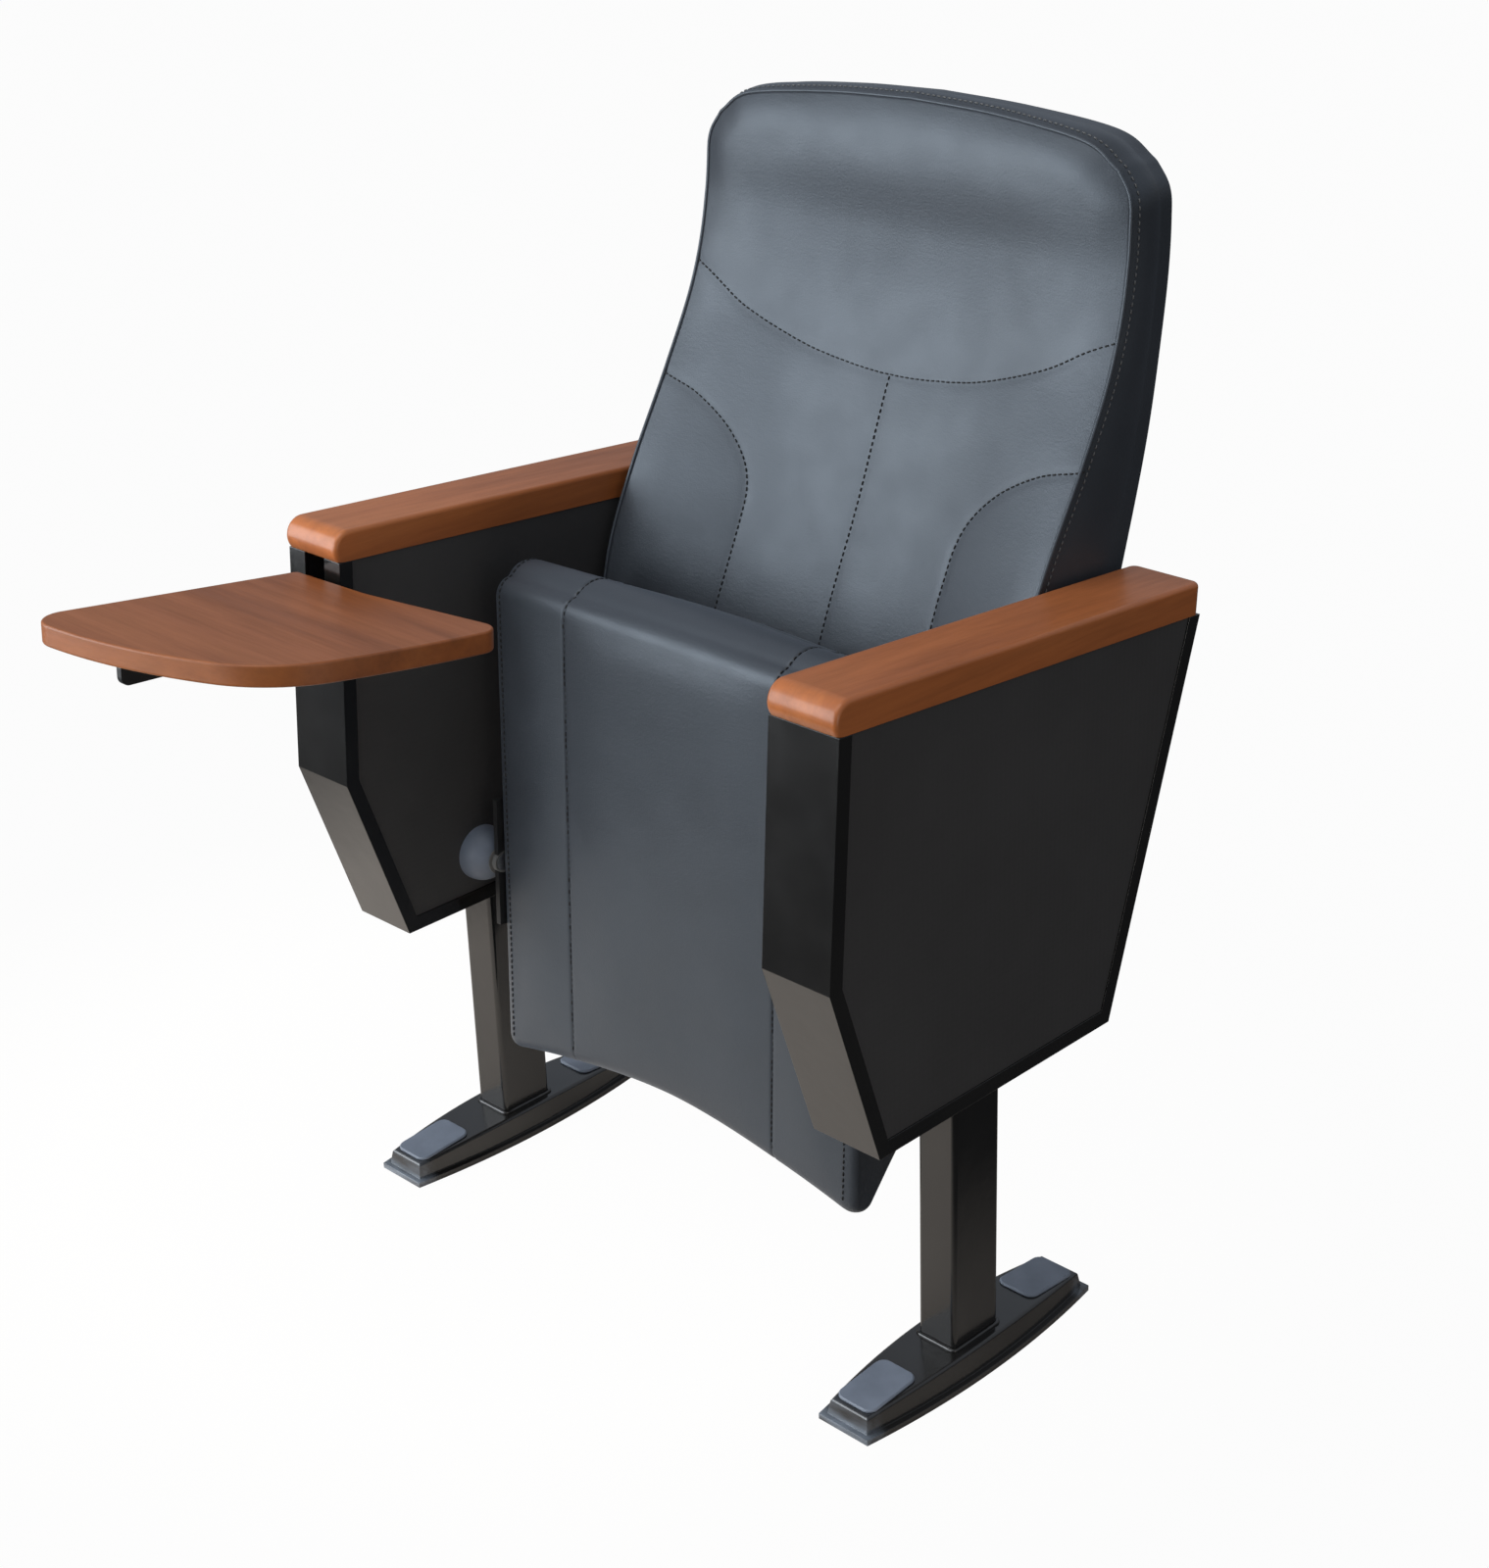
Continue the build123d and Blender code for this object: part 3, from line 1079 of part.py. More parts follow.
parts["lid_hinge_frame_leaves"] = group([lid_leaf(place, -1) for place in LID_LEAF_PLACES])
parts["lid_hinge_lid_leaves"] = group([lid_leaf(place, 1) for place in LID_LEAF_PLACES])
parts["lid_hinge_pins"] = group(
    [along_lid(Circle(LID_PIN_R), place, LID_LEAF_LENGTH) for place in LID_LEAF_PLACES]
)

os.makedirs("parts", exist_ok=True)
for node, piece in parts.items():
    export_step(piece, f"parts/{node}.step")
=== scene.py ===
import json
from math import cos, pi, radians, sin

import bpy
import numpy as np
from mathutils import Matrix, Vector, noise
from mathutils.bvhtree import BVHTree


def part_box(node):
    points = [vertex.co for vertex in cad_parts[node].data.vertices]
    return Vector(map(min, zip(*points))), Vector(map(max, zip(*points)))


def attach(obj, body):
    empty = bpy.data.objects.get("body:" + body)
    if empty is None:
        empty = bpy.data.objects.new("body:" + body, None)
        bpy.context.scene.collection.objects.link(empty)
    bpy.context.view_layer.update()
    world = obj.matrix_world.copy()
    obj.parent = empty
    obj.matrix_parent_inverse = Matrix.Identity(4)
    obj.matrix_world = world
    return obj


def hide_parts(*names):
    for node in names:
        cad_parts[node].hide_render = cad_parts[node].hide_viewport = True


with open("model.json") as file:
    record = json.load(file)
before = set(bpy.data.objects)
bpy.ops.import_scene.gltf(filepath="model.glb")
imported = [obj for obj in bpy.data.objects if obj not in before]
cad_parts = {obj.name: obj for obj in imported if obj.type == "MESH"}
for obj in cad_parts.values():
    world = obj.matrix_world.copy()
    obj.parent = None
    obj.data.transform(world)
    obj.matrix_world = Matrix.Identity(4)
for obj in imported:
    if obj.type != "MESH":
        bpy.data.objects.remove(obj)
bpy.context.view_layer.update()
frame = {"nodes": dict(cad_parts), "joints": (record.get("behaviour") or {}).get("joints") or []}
nodes = frame["nodes"]
joints = {joint["name"]: joint for joint in frame["joints"]}

# ------------------------------------------------------------------ steel stand
# Two bent steel channels that frame the arm boxes, two rectangular posts and two pressed feet.
# All of it is powder coated in gloss black: a hard, slightly rippled skin that mirrors the room.
PAINT = (0.006, 0.0055, 0.005, 1)
PAINT_DUST = (0.011, 0.010, 0.009, 1)
PAINT_RIPPLE = 55.0           # soft ripples of the coating, per metre
PAINT_SPECK = 1400.0          # dust nibs
EDGE_R = 0.0009               # rounding that the coating gives to a sheet's edges
FOOT_MIDDLE_Y = -0.007
TIP_FROM, TIP_TO = 0.118, 0.138  # the feet's ends carry a painted highlight, out from their middle
TIP_HIGHLIGHT = (0.20, 0.23, 0.27, 1)


def new_material(name):
    """An empty material with its output, its main shader and its place on the piece."""
    material = bpy.data.materials.new(name)
    material.use_nodes = True
    tree = material.node_tree
    shader = tree.nodes["Principled BSDF"]
    place = tree.nodes.new("ShaderNodeTexCoord")
    return material, tree, shader, place.outputs["Object"]


def add_noise(tree, where, scale, detail=4.0, rough=0.5, stretch=(1, 1, 1)):
    """Noise on the piece's own coordinates; stretch lengthens it along an axis."""
    mapping = tree.nodes.new("ShaderNodeMapping")
    mapping.inputs["Scale"].default_value = stretch
    tree.links.new(where, mapping.inputs["Vector"])
    texture = tree.nodes.new("ShaderNodeTexNoise")
    texture.inputs["Scale"].default_value = scale
    texture.inputs["Detail"].default_value = detail
    texture.inputs["Roughness"].default_value = rough
    tree.links.new(mapping.outputs["Vector"], texture.inputs["Vector"])
    return texture.outputs["Fac"]


def add_ramp(tree, value, stops):
    """A value turned into colours or grey levels."""
    ramp = tree.nodes.new("ShaderNodeValToRGB")
    while len(ramp.color_ramp.elements) < len(stops):
        ramp.color_ramp.elements.new(0.5)
    for element, (position, colour) in zip(ramp.color_ramp.elements, stops):
        element.position = position
        element.color = colour if isinstance(colour, tuple) else (colour, colour, colour, 1)
    tree.links.new(value, ramp.inputs["Fac"])
    return ramp.outputs["Color"]


def add_bump(tree, height, strength, distance, under=None):
    """A bump of real depth, laid over another one where there is one."""
    bump = tree.nodes.new("ShaderNodeBump")
    bump.inputs["Strength"].default_value = strength
    bump.inputs["Distance"].default_value = distance
    tree.links.new(height, bump.inputs["Height"])
    if under:
        tree.links.new(under, bump.inputs["Normal"])
    return bump.outputs["Normal"]


def add_math(tree, operation, first, second=None):
    """A sum on one or two values; a plain number as the second is set on the node."""
    node = tree.nodes.new("ShaderNodeMath")
    node.operation = operation
    tree.links.new(first, node.inputs[0])
    if isinstance(second, float):
        node.inputs[1].default_value = second
    elif second:
        tree.links.new(second, node.inputs[1])
    return node.outputs[0]


def dress(material, *names):
    """Give CAD nodes their finish."""
    for name in names:
        piece = nodes[name]
        piece.data.materials.clear()
        piece.data.materials.append(material)


paint, tree, shader, where = new_material("gloss_black_paint")
dust = add_ramp(tree, add_noise(tree, where, 9.0, 6.0), [(0.35, PAINT), (0.75, PAINT_DUST)])
place = tree.nodes.new("ShaderNodeSeparateXYZ")
tree.links.new(where, place.inputs[0])
from_middle = add_math(tree, "SUBTRACT", place.outputs["Y"], FOOT_MIDDLE_Y)
outward_reach = add_math(tree, "ABSOLUTE", from_middle)
at_tip = add_ramp(tree, outward_reach, [(TIP_FROM, 0.0), (TIP_TO, 1.0)])
near_floor = add_ramp(tree, place.outputs["Z"], [(0.004, 1.0), (0.022, 0.25), (0.03, 0.0)])
highlight_noise = add_noise(tree, where, 95.0, 4.0, 0.5, (0.2, 1.0, 1.0))
patches = add_ramp(tree, highlight_noise, [(0.34, 0.15), (0.66, 0.9)])
highlight_mask = add_math(tree, "MULTIPLY", add_math(tree, "MULTIPLY", at_tip, near_floor), patches)
# Pale bluish patches near the floor at the feet's ends: a painted highlight.
painted_tip_highlight = tree.nodes.new("ShaderNodeMix")
painted_tip_highlight.data_type = "RGBA"
tree.links.new(highlight_mask, painted_tip_highlight.inputs["Factor"])
tree.links.new(dust, painted_tip_highlight.inputs["A"])
painted_tip_highlight.inputs["B"].default_value = TIP_HIGHLIGHT
tree.links.new(painted_tip_highlight.outputs["Result"], shader.inputs["Base Color"])
gloss = add_ramp(tree, add_noise(tree, where, 22.0, 5.0), [(0.3, 0.13), (0.8, 0.25)])
tree.links.new(gloss, shader.inputs["Roughness"])
shader.inputs["Specular IOR Level"].default_value = 0.75
edges = tree.nodes.new("ShaderNodeBevel")
edges.inputs["Radius"].default_value = EDGE_R
ripple = add_bump(tree, add_noise(tree, where, PAINT_RIPPLE, 2.0), 0.25, 0.0006, edges.outputs[0])
nibs = add_bump(tree, add_noise(tree, where, PAINT_SPECK, 2.0), 0.10, 0.0001, ripple)
tree.links.new(nibs, shader.inputs["Normal"])
dress(paint, "arm_frame_left", "arm_frame_right", "post_left", "post_right", "foot_left", "foot_right")

# ------------------------------------------------------------------ welds of the posts
# A hand-laid bead runs round each post where it stands on its foot, and another where it enters
# the arm box. It is steel, not ground but painted over, so it stays lumpy.
BEAD_R = 0.0019
BEAD_LUMP = 0.35              # share by which its width swells and narrows
BEAD_STEP = 0.0035
FOOT_TOP_Z = 0.0253


def deselect():
    bpy.ops.object.select_all(action="DESELECT")


def weld_bead(name, low, high, z):
    """A lumpy bead along a rounded rectangle, from a plane's outline turned into a bevelled curve."""
    deselect()
    middle = ((low.x + high.x) / 2, (low.y + high.y) / 2, z)
    bpy.ops.mesh.primitive_plane_add(size=1, location=middle)
    bead = bpy.context.object
    bead.name = name
    bead.scale = (high.x - low.x + BEAD_R, high.y - low.y + BEAD_R, 1)
    bpy.ops.object.transform_apply(location=True, rotation=True, scale=True)
    bpy.ops.object.mode_set(mode="EDIT")
    bpy.ops.mesh.bevel(offset=0.004, segments=4, affect="VERTICES")
    bpy.ops.mesh.delete(type="ONLY_FACE")
    bpy.ops.mesh.select_all(action="SELECT")
    cuts = int((high.x - low.x) / BEAD_STEP)
    bpy.ops.mesh.subdivide(number_cuts=cuts)
    bpy.ops.mesh.select_all(action="SELECT")
    bpy.ops.mesh.remove_doubles(threshold=BEAD_STEP / 3)
    bpy.ops.object.mode_set(mode="OBJECT")
    bpy.ops.object.convert(target="CURVE")
    curve = bead.data
    curve.bevel_depth = BEAD_R
    curve.bevel_resolution = 3
    for spline in curve.splines:
        for number, point in enumerate(spline.points):
            point.radius = 1 + BEAD_LUMP * noise.noise(Vector((number * 0.9, low.x * 40, z * 30)))
    bpy.ops.object.convert(target="MESH")
    bead = bpy.context.object
    bpy.ops.object.shade_smooth()
    bead.data.materials.clear()
    bead.data.materials.append(paint)
    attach(bead, "stand")


for side in ("left", "right"):
    post_low, post_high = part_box("post_" + side)
    box_low, box_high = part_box("arm_frame_" + side)
    weld_bead("foot_weld_" + side, post_low, post_high, FOOT_TOP_Z)
    weld_bead("box_weld_" + side, post_low, post_high, box_low.z - BEAD_R / 3)

# ------------------------------------------------------------------ foot plugs and hinge covers
# Grey polypropylene mouldings: caps pressed into the anchor pockets, and a domed cover over the
# Moulded with a fine spark-eroded texture.
plastic, tree, shader, where = new_material("grey_moulded_plastic")
# The base colour is made paler and bluer than the plastic itself, to stand in for its sheen: painted
# sheen.
shades = [(0.3, (0.12, 0.14, 0.175, 1)), (0.75, (0.175, 0.20, 0.245, 1))]
tone = add_ramp(tree, add_noise(tree, where, 35.0, 6.0), shades)
tree.links.new(tone, shader.inputs["Base Color"])
shader.inputs["Roughness"].default_value = 0.5
grain = add_bump(tree, add_noise(tree, where, 1600.0, 3.0), 0.35, 0.00015)
tree.links.new(grain, shader.inputs["Normal"])
dress(plastic, "foot_plugs", "pivot_bosses")

# ------------------------------------------------------------------ hinge steel
# Brackets, pivot plates, slotted hinge plates and the tablet's arm are laser cut or bent from
# mild steel and coated in satin black; pins, pegs, straps, bolts and screws are zinc plated.
satin, tree, shader, where = new_material("satin_black_steel")
tone = add_ramp(tree, add_noise(tree, where, 18.0, 6.0), [(0.3, 0.010), (0.8, 0.020)])
tree.links.new(tone, shader.inputs["Base Color"])
wear = add_ramp(tree, add_noise(tree, where, 60.0, 6.0), [(0.3, 0.32), (0.8, 0.48)])
tree.links.new(wear, shader.inputs["Roughness"])
skin = add_bump(tree, add_noise(tree, where, 700.0, 3.0), 0.25, 0.0001)
tree.links.new(skin, shader.inputs["Normal"])
for side in ("left", "right"):
    dress(satin, "pivot_plate_" + side, "hinge_plate_" + side, "back_bracket_" + side)
dress(
    satin,
    "tablet_arm",
    "tablet_bracket",
    "tablet_hinge_leaves",
    "lid_hinge_frame_leaves",
    "lid_hinge_lid_leaves",
)

zinc, tree, shader, where = new_material("zinc_plate")
shades = [(0.3, (0.46, 0.47, 0.50, 1)), (0.7, (0.66, 0.66, 0.64, 1))]
tone = add_ramp(tree, add_noise(tree, where, 90.0, 5.0), shades)
tree.links.new(tone, shader.inputs["Base Color"])
shader.inputs["Metallic"].default_value = 1.0
brushed = add_noise(tree, where, 500.0, 3.0, stretch=(1, 0.1, 1))
tree.links.new(add_ramp(tree, brushed, [(0.3, 0.25), (0.7, 0.42)]), shader.inputs["Roughness"])
tree.links.new(add_bump(tree, brushed, 0.2, 0.0001), shader.inputs["Normal"])
dress(
    zinc,
    "armrest_straps",
    "armrest_screws",
    "pivot_pins",
    "stop_pegs",
    "hinge_plate_screws",
    "bracket_bolts",
    "board_screws",
    "cover_screws",
    "tablet_screws",
    "tablet_arm_pin",
    "tablet_hinge_pins",
    "lid_hinge_pins",
    "back_nut_plates",
)

spring_steel, tree, shader, where = new_material("oiled_spring_steel")
shades = [(0.3, (0.16, 0.16, 0.18, 1)), (0.8, (0.30, 0.29, 0.28, 1))]
tone = add_ramp(tree, add_noise(tree, where, 200.0, 4.0), shades)
tree.links.new(tone, shader.inputs["Base Color"])
shader.inputs["Metallic"].default_value = 1.0
shader.inputs["Roughness"].default_value = 0.35
dress(spring_steel, "return_springs")

# ------------------------------------------------------------------ bushes, spacers and sleeves
# The pin turns in nylon bushes and the tablet's arm lies between nylon tubes, both greyed by wear
# and oil. The stop pegs wear sleeves of black rubber that take the knock at the seat's stops.
nylon, tree, shader, where = new_material("oiled_nylon")
shades = [(0.3, (0.10, 0.10, 0.10, 1)), (0.8, (0.20, 0.195, 0.18, 1))]
tone = add_ramp(tree, add_noise(tree, where, 60.0, 4.0), shades)
tree.links.new(tone, shader.inputs["Base Color"])
shader.inputs["Roughness"].default_value = 0.38
dress(nylon, "pivot_bushes", "tablet_spacers")

rubber, tree, shader, where = new_material("black_rubber")
tone = add_ramp(tree, add_noise(tree, where, 120.0, 5.0), [(0.3, 0.012), (0.8, 0.030)])
tree.links.new(tone, shader.inputs["Base Color"])
shader.inputs["Roughness"].default_value = 0.75
tree.links.new(add_bump(tree, add_noise(tree, where, 900.0, 3.0), 0.4, 0.0002), shader.inputs["Normal"])
dress(rubber, "stop_sleeves")

# ------------------------------------------------------------------ panels of the arm boxes
# An 8 mm board closes each face of a box behind the channel's lips. It is wrapped in a charcoal
# foil with a fine cloth emboss and has almost no shine.
PANEL = (0.038, 0.036, 0.035, 1)
PANEL_LIGHT = (0.050, 0.048, 0.047, 1)
EMBOSS = 1150.0               # threads of the emboss, per metre

foil, tree, shader, where = new_material("charcoal_foil")
tone = add_ramp(tree, add_noise(tree, where, 5.0, 8.0, 0.6), [(0.3, PANEL), (0.75, PANEL_LIGHT)])
tree.links.new(tone, shader.inputs["Base Color"])
shader.inputs["Roughness"].default_value = 0.62
shader.inputs["Specular IOR Level"].default_value = 0.35
shader.inputs["Sheen Weight"].default_value = 0.08
shader.inputs["Sheen Roughness"].default_value = 0.4
threads = []
for axis in ("Y", "Z"):
    wave = tree.nodes.new("ShaderNodeTexWave")
    wave.bands_direction = axis
    wave.inputs["Scale"].default_value = EMBOSS / 20
    wave.inputs["Distortion"].default_value = 1.2
    wave.inputs["Detail"].default_value = 2.0
    wave.inputs["Detail Scale"].default_value = 4.0
    tree.links.new(where, wave.inputs["Vector"])
    threads.append(wave.outputs["Fac"])
cloth_grain = add_bump(tree, threads[0], 0.15, 0.0002)
cloth_grain = add_bump(tree, threads[1], 0.15, 0.0002, cloth_grain)
cloth_grain = add_bump(tree, add_noise(tree, where, 900.0, 3.0), 0.35, 0.0003, cloth_grain)
tree.links.new(cloth_grain, shader.inputs["Normal"])
for side in ("left", "right"):
    dress(foil, "arm_panel_inner_" + side, "arm_panel_outer_" + side)

# ------------------------------------------------------------------ plywood boards, rear cover
# The pads are built on birch plywood, which only shows at an edge. The back is closed behind by a
# thin black polypropylene moulding with a leather grain.
plywood, tree, shader, where = new_material("birch_plywood")
plies = add_noise(tree, where, 25.0, 5.0, 0.6, (1, 12, 1))
tone = add_ramp(tree, plies, [(0.3, (0.40, 0.26, 0.14, 1)), (0.7, (0.62, 0.45, 0.28, 1))])
tree.links.new(tone, shader.inputs["Base Color"])
shader.inputs["Roughness"].default_value = 0.7
dress(plywood, "seat_board", "back_board")

moulding, tree, shader, where = new_material("black_grained_moulding")
tone = add_ramp(tree, add_noise(tree, where, 12.0, 5.0), [(0.3, 0.015), (0.8, 0.024)])
tree.links.new(tone, shader.inputs["Base Color"])
shader.inputs["Roughness"].default_value = 0.5
pebbles = tree.nodes.new("ShaderNodeTexVoronoi")
pebbles.inputs["Scale"].default_value = 620.0
tree.links.new(where, pebbles.inputs["Vector"])
tree.links.new(add_bump(tree, pebbles.outputs["Distance"], 0.5, 0.0004), shader.inputs["Normal"])
dress(moulding, "back_rear_cover")

# ------------------------------------------------------------------ cover material of both pads
# Dark slate vinyl with a fine calf grain and a satin top coat, sewn with black bonded thread.
# It picks up a broad pale sheen on faces turned to the light and goes nearly black on the rest.
HIDE = (0.023, 0.026, 0.031, 1)
HIDE_LIGHT = (0.034, 0.038, 0.045, 1)
GRAIN = 780.0                 # pebbles of the grain, per metre
CREASES = 210.0

hide, tree, shader, where = new_material("slate_vinyl")
tone = add_ramp(tree, add_noise(tree, where, 6.0, 6.0, 0.55), [(0.3, HIDE), (0.75, HIDE_LIGHT)])
tree.links.new(tone, shader.inputs["Base Color"])
polish = add_ramp(tree, add_noise(tree, where, 30.0, 6.0), [(0.3, 0.40), (0.8, 0.48)])
tree.links.new(polish, shader.inputs["Roughness"])
shader.inputs["Specular IOR Level"].default_value = 0.74
shader.inputs["Specular Tint"].default_value = (0.80, 0.90, 1.0, 1)
shader.inputs["Sheen Weight"].default_value = 0.10
shader.inputs["Sheen Roughness"].default_value = 0.45
shader.inputs["Sheen Tint"].default_value = (0.70, 0.82, 1.0, 1)
pebbles = tree.nodes.new("ShaderNodeTexVoronoi")
pebbles.feature = "SMOOTH_F1"
pebbles.inputs["Scale"].default_value = GRAIN
tree.links.new(where, pebbles.inputs["Vector"])
grain = add_bump(tree, pebbles.outputs["Distance"], 0.30, 0.00025)
wrinkles = add_noise(tree, where, CREASES, 6.0, 0.65, (0.55, 1.0, 1.6))
grain = add_bump(tree, wrinkles, 0.22, 0.0007, grain)
tree.links.new(grain, shader.inputs["Normal"])


def thread_material(name, dark, light):
    """Bonded thread, twisted."""
    material, tree, shader, where = new_material(name)
    twist = add_noise(tree, where, 1800.0, 2.0)
    tree.links.new(add_ramp(tree, twist, [(0.3, dark), (0.7, light)]), shader.inputs["Base Color"])
    shader.inputs["Roughness"].default_value = 0.6
    tree.links.new(add_bump(tree, twist, 0.4, 0.0002), shader.inputs["Normal"])
    return material


black_thread = thread_material("black_thread", 0.003, 0.010)
grey_thread = thread_material("grey_thread", 0.06, 0.14)

# ------------------------------------------------------------------ padded seat
# Cold-cured foam on a plywood board inside a sewn cover: three panels from underside over the nose
# to the sitting face, joined by two long seams, and a flat side panel at each end.
SEAT_LEAN = radians(-2.8)
SEAT_HALF = 0.21115
SEAT_SEAM = 0.121             # long seams, out from the middle
UNDER = -0.0045               # underside and sitting face before the cover swells
SITTING = 0.079
CROWN = 0.011
NOSE_TIP = 0.274
NOSE_CROWN = 0.010
NOSE_FRONT_R = 0.014
NOSE_BACK_R = 0.030
TAIL = -0.185
TAIL_SLANT = 0.070
HEEL_R = 0.014
TAIL_ARCH = 0.028             # the rear edge is cut back by this much in the middle
ARCH_BOW = 1.8
SIDE_ROUND = 0.013            # rounding of the long side edges
SIDE_PULL = 0.0075
LONG_CELLS = 80               # mesh cells along the seat, round its nose and between seams
NOSE_CELLS = (6, 11, 9)
TAIL_CELLS = (20, 6)
SEAM_RISE = 0.0015            # close mesh lines each side of a seam
SEAM_PULL = 0.0012            # how far the thread draws a seam in
SIDE_HELD = 0.004             # the cover is held down this near a side
SEAT_SWELL = 0.0032
PRESSURE = 4.0
FRAMES = 20
EVEN_ROUNDS = 14


def run(start, end, count):
    """Points along a straight line, without its end."""
    return [tuple(np.add(start, np.subtract(end, start) * k / count)) for k in range(count)]


def bend(start, through, end, count):
    """Points along the arc through three points, without its end."""
    (ax, ay), (bx, by), (cx, cy) = start, through, end
    d = 2 * (ax * (by - cy) + bx * (cy - ay) + cx * (ay - by))
    a2, b2, c2 = ax * ax + ay * ay, bx * bx + by * by, cx * cx + cy * cy
    ox = (a2 * (by - cy) + b2 * (cy - ay) + c2 * (ay - by)) / d
    oy = (a2 * (cx - bx) + b2 * (ax - cx) + c2 * (bx - ax)) / d
    first = np.arctan2(ay - oy, ax - ox)
    middle = (np.arctan2(by - oy, bx - ox) - first) % (2 * pi)
    last = (np.arctan2(cy - oy, cx - ox) - first) % (2 * pi)
    if middle > last:
        last -= 2 * pi
    radius = np.hypot(ax - ox, ay - oy)
    turns = [first + last * k / count for k in range(count)]
    return [(ox + radius * cos(a), oy + radius * sin(a)) for a in turns]


def seat_ring(x):
    """Outline of the seat at one place across it: (through the seat, along the seat) points."""
    out = SEAT_HALF - abs(x)
    near = max(0.0, 1 - out / SIDE_ROUND)
    pull = SIDE_PULL * (1 - (1 - near**2) ** 0.5)
    low = UNDER + pull
    high = SITTING + CROWN * (1 - (x / SEAT_HALF) ** 2) - pull
    tip = NOSE_TIP - pull
    shoulder = tip - NOSE_CROWN
    tail = TAIL + pull + TAIL_ARCH * (1 - abs(x / SEAT_HALF) ** ARCH_BOW)
    nook = 1 - cos(pi / 4)
    ring = run((low, tail + HEEL_R), (low, shoulder - NOSE_FRONT_R), LONG_CELLS)
    ring += bend(
        (low, shoulder - NOSE_FRONT_R),
        (low + NOSE_FRONT_R * nook, shoulder - NOSE_FRONT_R * nook),
        (low + NOSE_FRONT_R, shoulder),
        NOSE_CELLS[0],
    )
    ring += bend(
        (low + NOSE_FRONT_R, shoulder),
        ((low + NOSE_FRONT_R + high - NOSE_BACK_R) / 2, tip),
        (high - NOSE_BACK_R, shoulder),
        NOSE_CELLS[1],
    )
    ring += bend(
        (high - NOSE_BACK_R, shoulder),
        (high - NOSE_BACK_R * nook, shoulder - NOSE_BACK_R * nook),
        (high, shoulder - NOSE_BACK_R),
        NOSE_CELLS[2],
    )
    ring += run((high, shoulder - NOSE_BACK_R), (high, tail + TAIL_SLANT), LONG_CELLS)
    ring += run((high, tail + TAIL_SLANT), (low + HEEL_R, tail), TAIL_CELLS[0])
    ring += bend(
        (low + HEEL_R, tail),
        (low + HEEL_R * nook, tail + HEEL_R * nook),
        (low, tail + HEEL_R),
        TAIL_CELLS[1],
    )
    return ring


def seat_stations():
    """Places across the seat, close together at the sides and at the seams."""
    rounding = [SEAT_HALF - SIDE_ROUND * share for share in (0, 0.06, 0.2, 0.42, 0.7, 1)]
    outer = list(np.linspace(rounding[-1], SEAT_SEAM + 3 * SEAM_RISE, 14))[1:]
    seam = [SEAT_SEAM + SEAM_RISE, SEAT_SEAM, SEAT_SEAM - SEAM_RISE]
    inner = list(np.linspace(SEAT_SEAM - 3 * SEAM_RISE, 0, 21))
    half = rounding + outer + seam + inner
    return [-x for x in half] + half[-2::-1]


pivot = Vector(joints["seat_tip"]["pos_m"])


def seat_place(x, through, along):
    """From the seat's own directions to the room, tipped up."""
    y = through * cos(SEAT_LEAN) - along * sin(SEAT_LEAN)
    z = through * sin(SEAT_LEAN) + along * cos(SEAT_LEAN)
    return (x, pivot.y + y, pivot.z + z)


def patch_side(ring, long_cells, short_cells):
    """Grid inside a ring of four runs: rows of points blended from its sides."""
    ring = np.array(ring)
    low = ring[: long_cells + 1]
    nose = ring[long_cells : long_cells + short_cells + 1]
    high = ring[long_cells + short_cells : 2 * long_cells + short_cells + 1][::-1]
    tail = np.vstack([ring[2 * long_cells + short_cells :], ring[:1]])[::-1]
    rows = []
    for j in range(1, short_cells):
        t = j / short_cells
        row = []
        for i in range(1, long_cells):
            s = i / long_cells
            point = (1 - t) * low[i] + t * high[i] + (1 - s) * tail[j] + s * nose[j]
            point -= (1 - s) * (1 - t) * low[0] + s * (1 - t) * low[-1]
            point -= (1 - s) * t * high[0] + s * t * high[-1]
            row.append(point)
        rows.append(row)
    return rows


def seat_mesh():
    """Closed mesh of the pad: rings across, and a grid in each flat side."""
    xs = seat_stations()
    size = len(seat_ring(0))
    short_cells = sum(NOSE_CELLS)
    points = [(x, w, u) for x in xs for w, u in seat_ring(x)]
    faces = []
    for k in range(len(xs) - 1):
        for i in range(size):
            j = (i + 1) % size
            faces.append((k * size + i, (k + 1) * size + i, (k + 1) * size + j, k * size + j))
    for k, flip in ((0, False), (len(xs) - 1, True)):
        start = len(points)
        rows = patch_side(seat_ring(xs[k]), LONG_CELLS, short_cells)
        points += [(xs[k], *point) for row in rows for point in row]

        def spot(i, j):
            base = k * size
            if j == 0:
                return base + i
            if j == short_cells:
                return base + 2 * LONG_CELLS + short_cells - i
            if i == 0:
                return base + (size - j) % size
            if i == LONG_CELLS:
                return base + LONG_CELLS + j
            return start + (j - 1) * (LONG_CELLS - 1) + i - 1

        for j in range(short_cells):
            for i in range(LONG_CELLS):
                face = (spot(i, j), spot(i + 1, j), spot(i + 1, j + 1), spot(i, j + 1))
                faces.append(face[::-1] if flip else face)
    return xs, size, np.array(points), faces


def new_piece(name, points, faces, material, body):
    mesh = bpy.data.meshes.new(name)
    mesh.from_pydata([tuple(point) for point in points], [], faces)
    mesh.materials.append(material)
    mesh.shade_smooth()
    piece = bpy.data.objects.new(name, mesh)
    bpy.context.scene.collection.objects.link(piece)
    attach(piece, body)
    return piece


def outward(piece):
    """Turn the faces of a closed piece outwards."""
    deselect()
    piece.select_set(True)
    bpy.context.view_layer.objects.active = piece
    bpy.ops.object.mode_set(mode="EDIT")
    bpy.ops.mesh.select_all(action="SELECT")
    bpy.ops.mesh.normals_make_consistent(inside=False)
    bpy.ops.object.mode_set(mode="OBJECT")


def positions(mesh):
    values = np.zeros(len(mesh.vertices) * 3)
    mesh.vertices.foreach_get("co", values)
    return values.reshape(-1, 3)


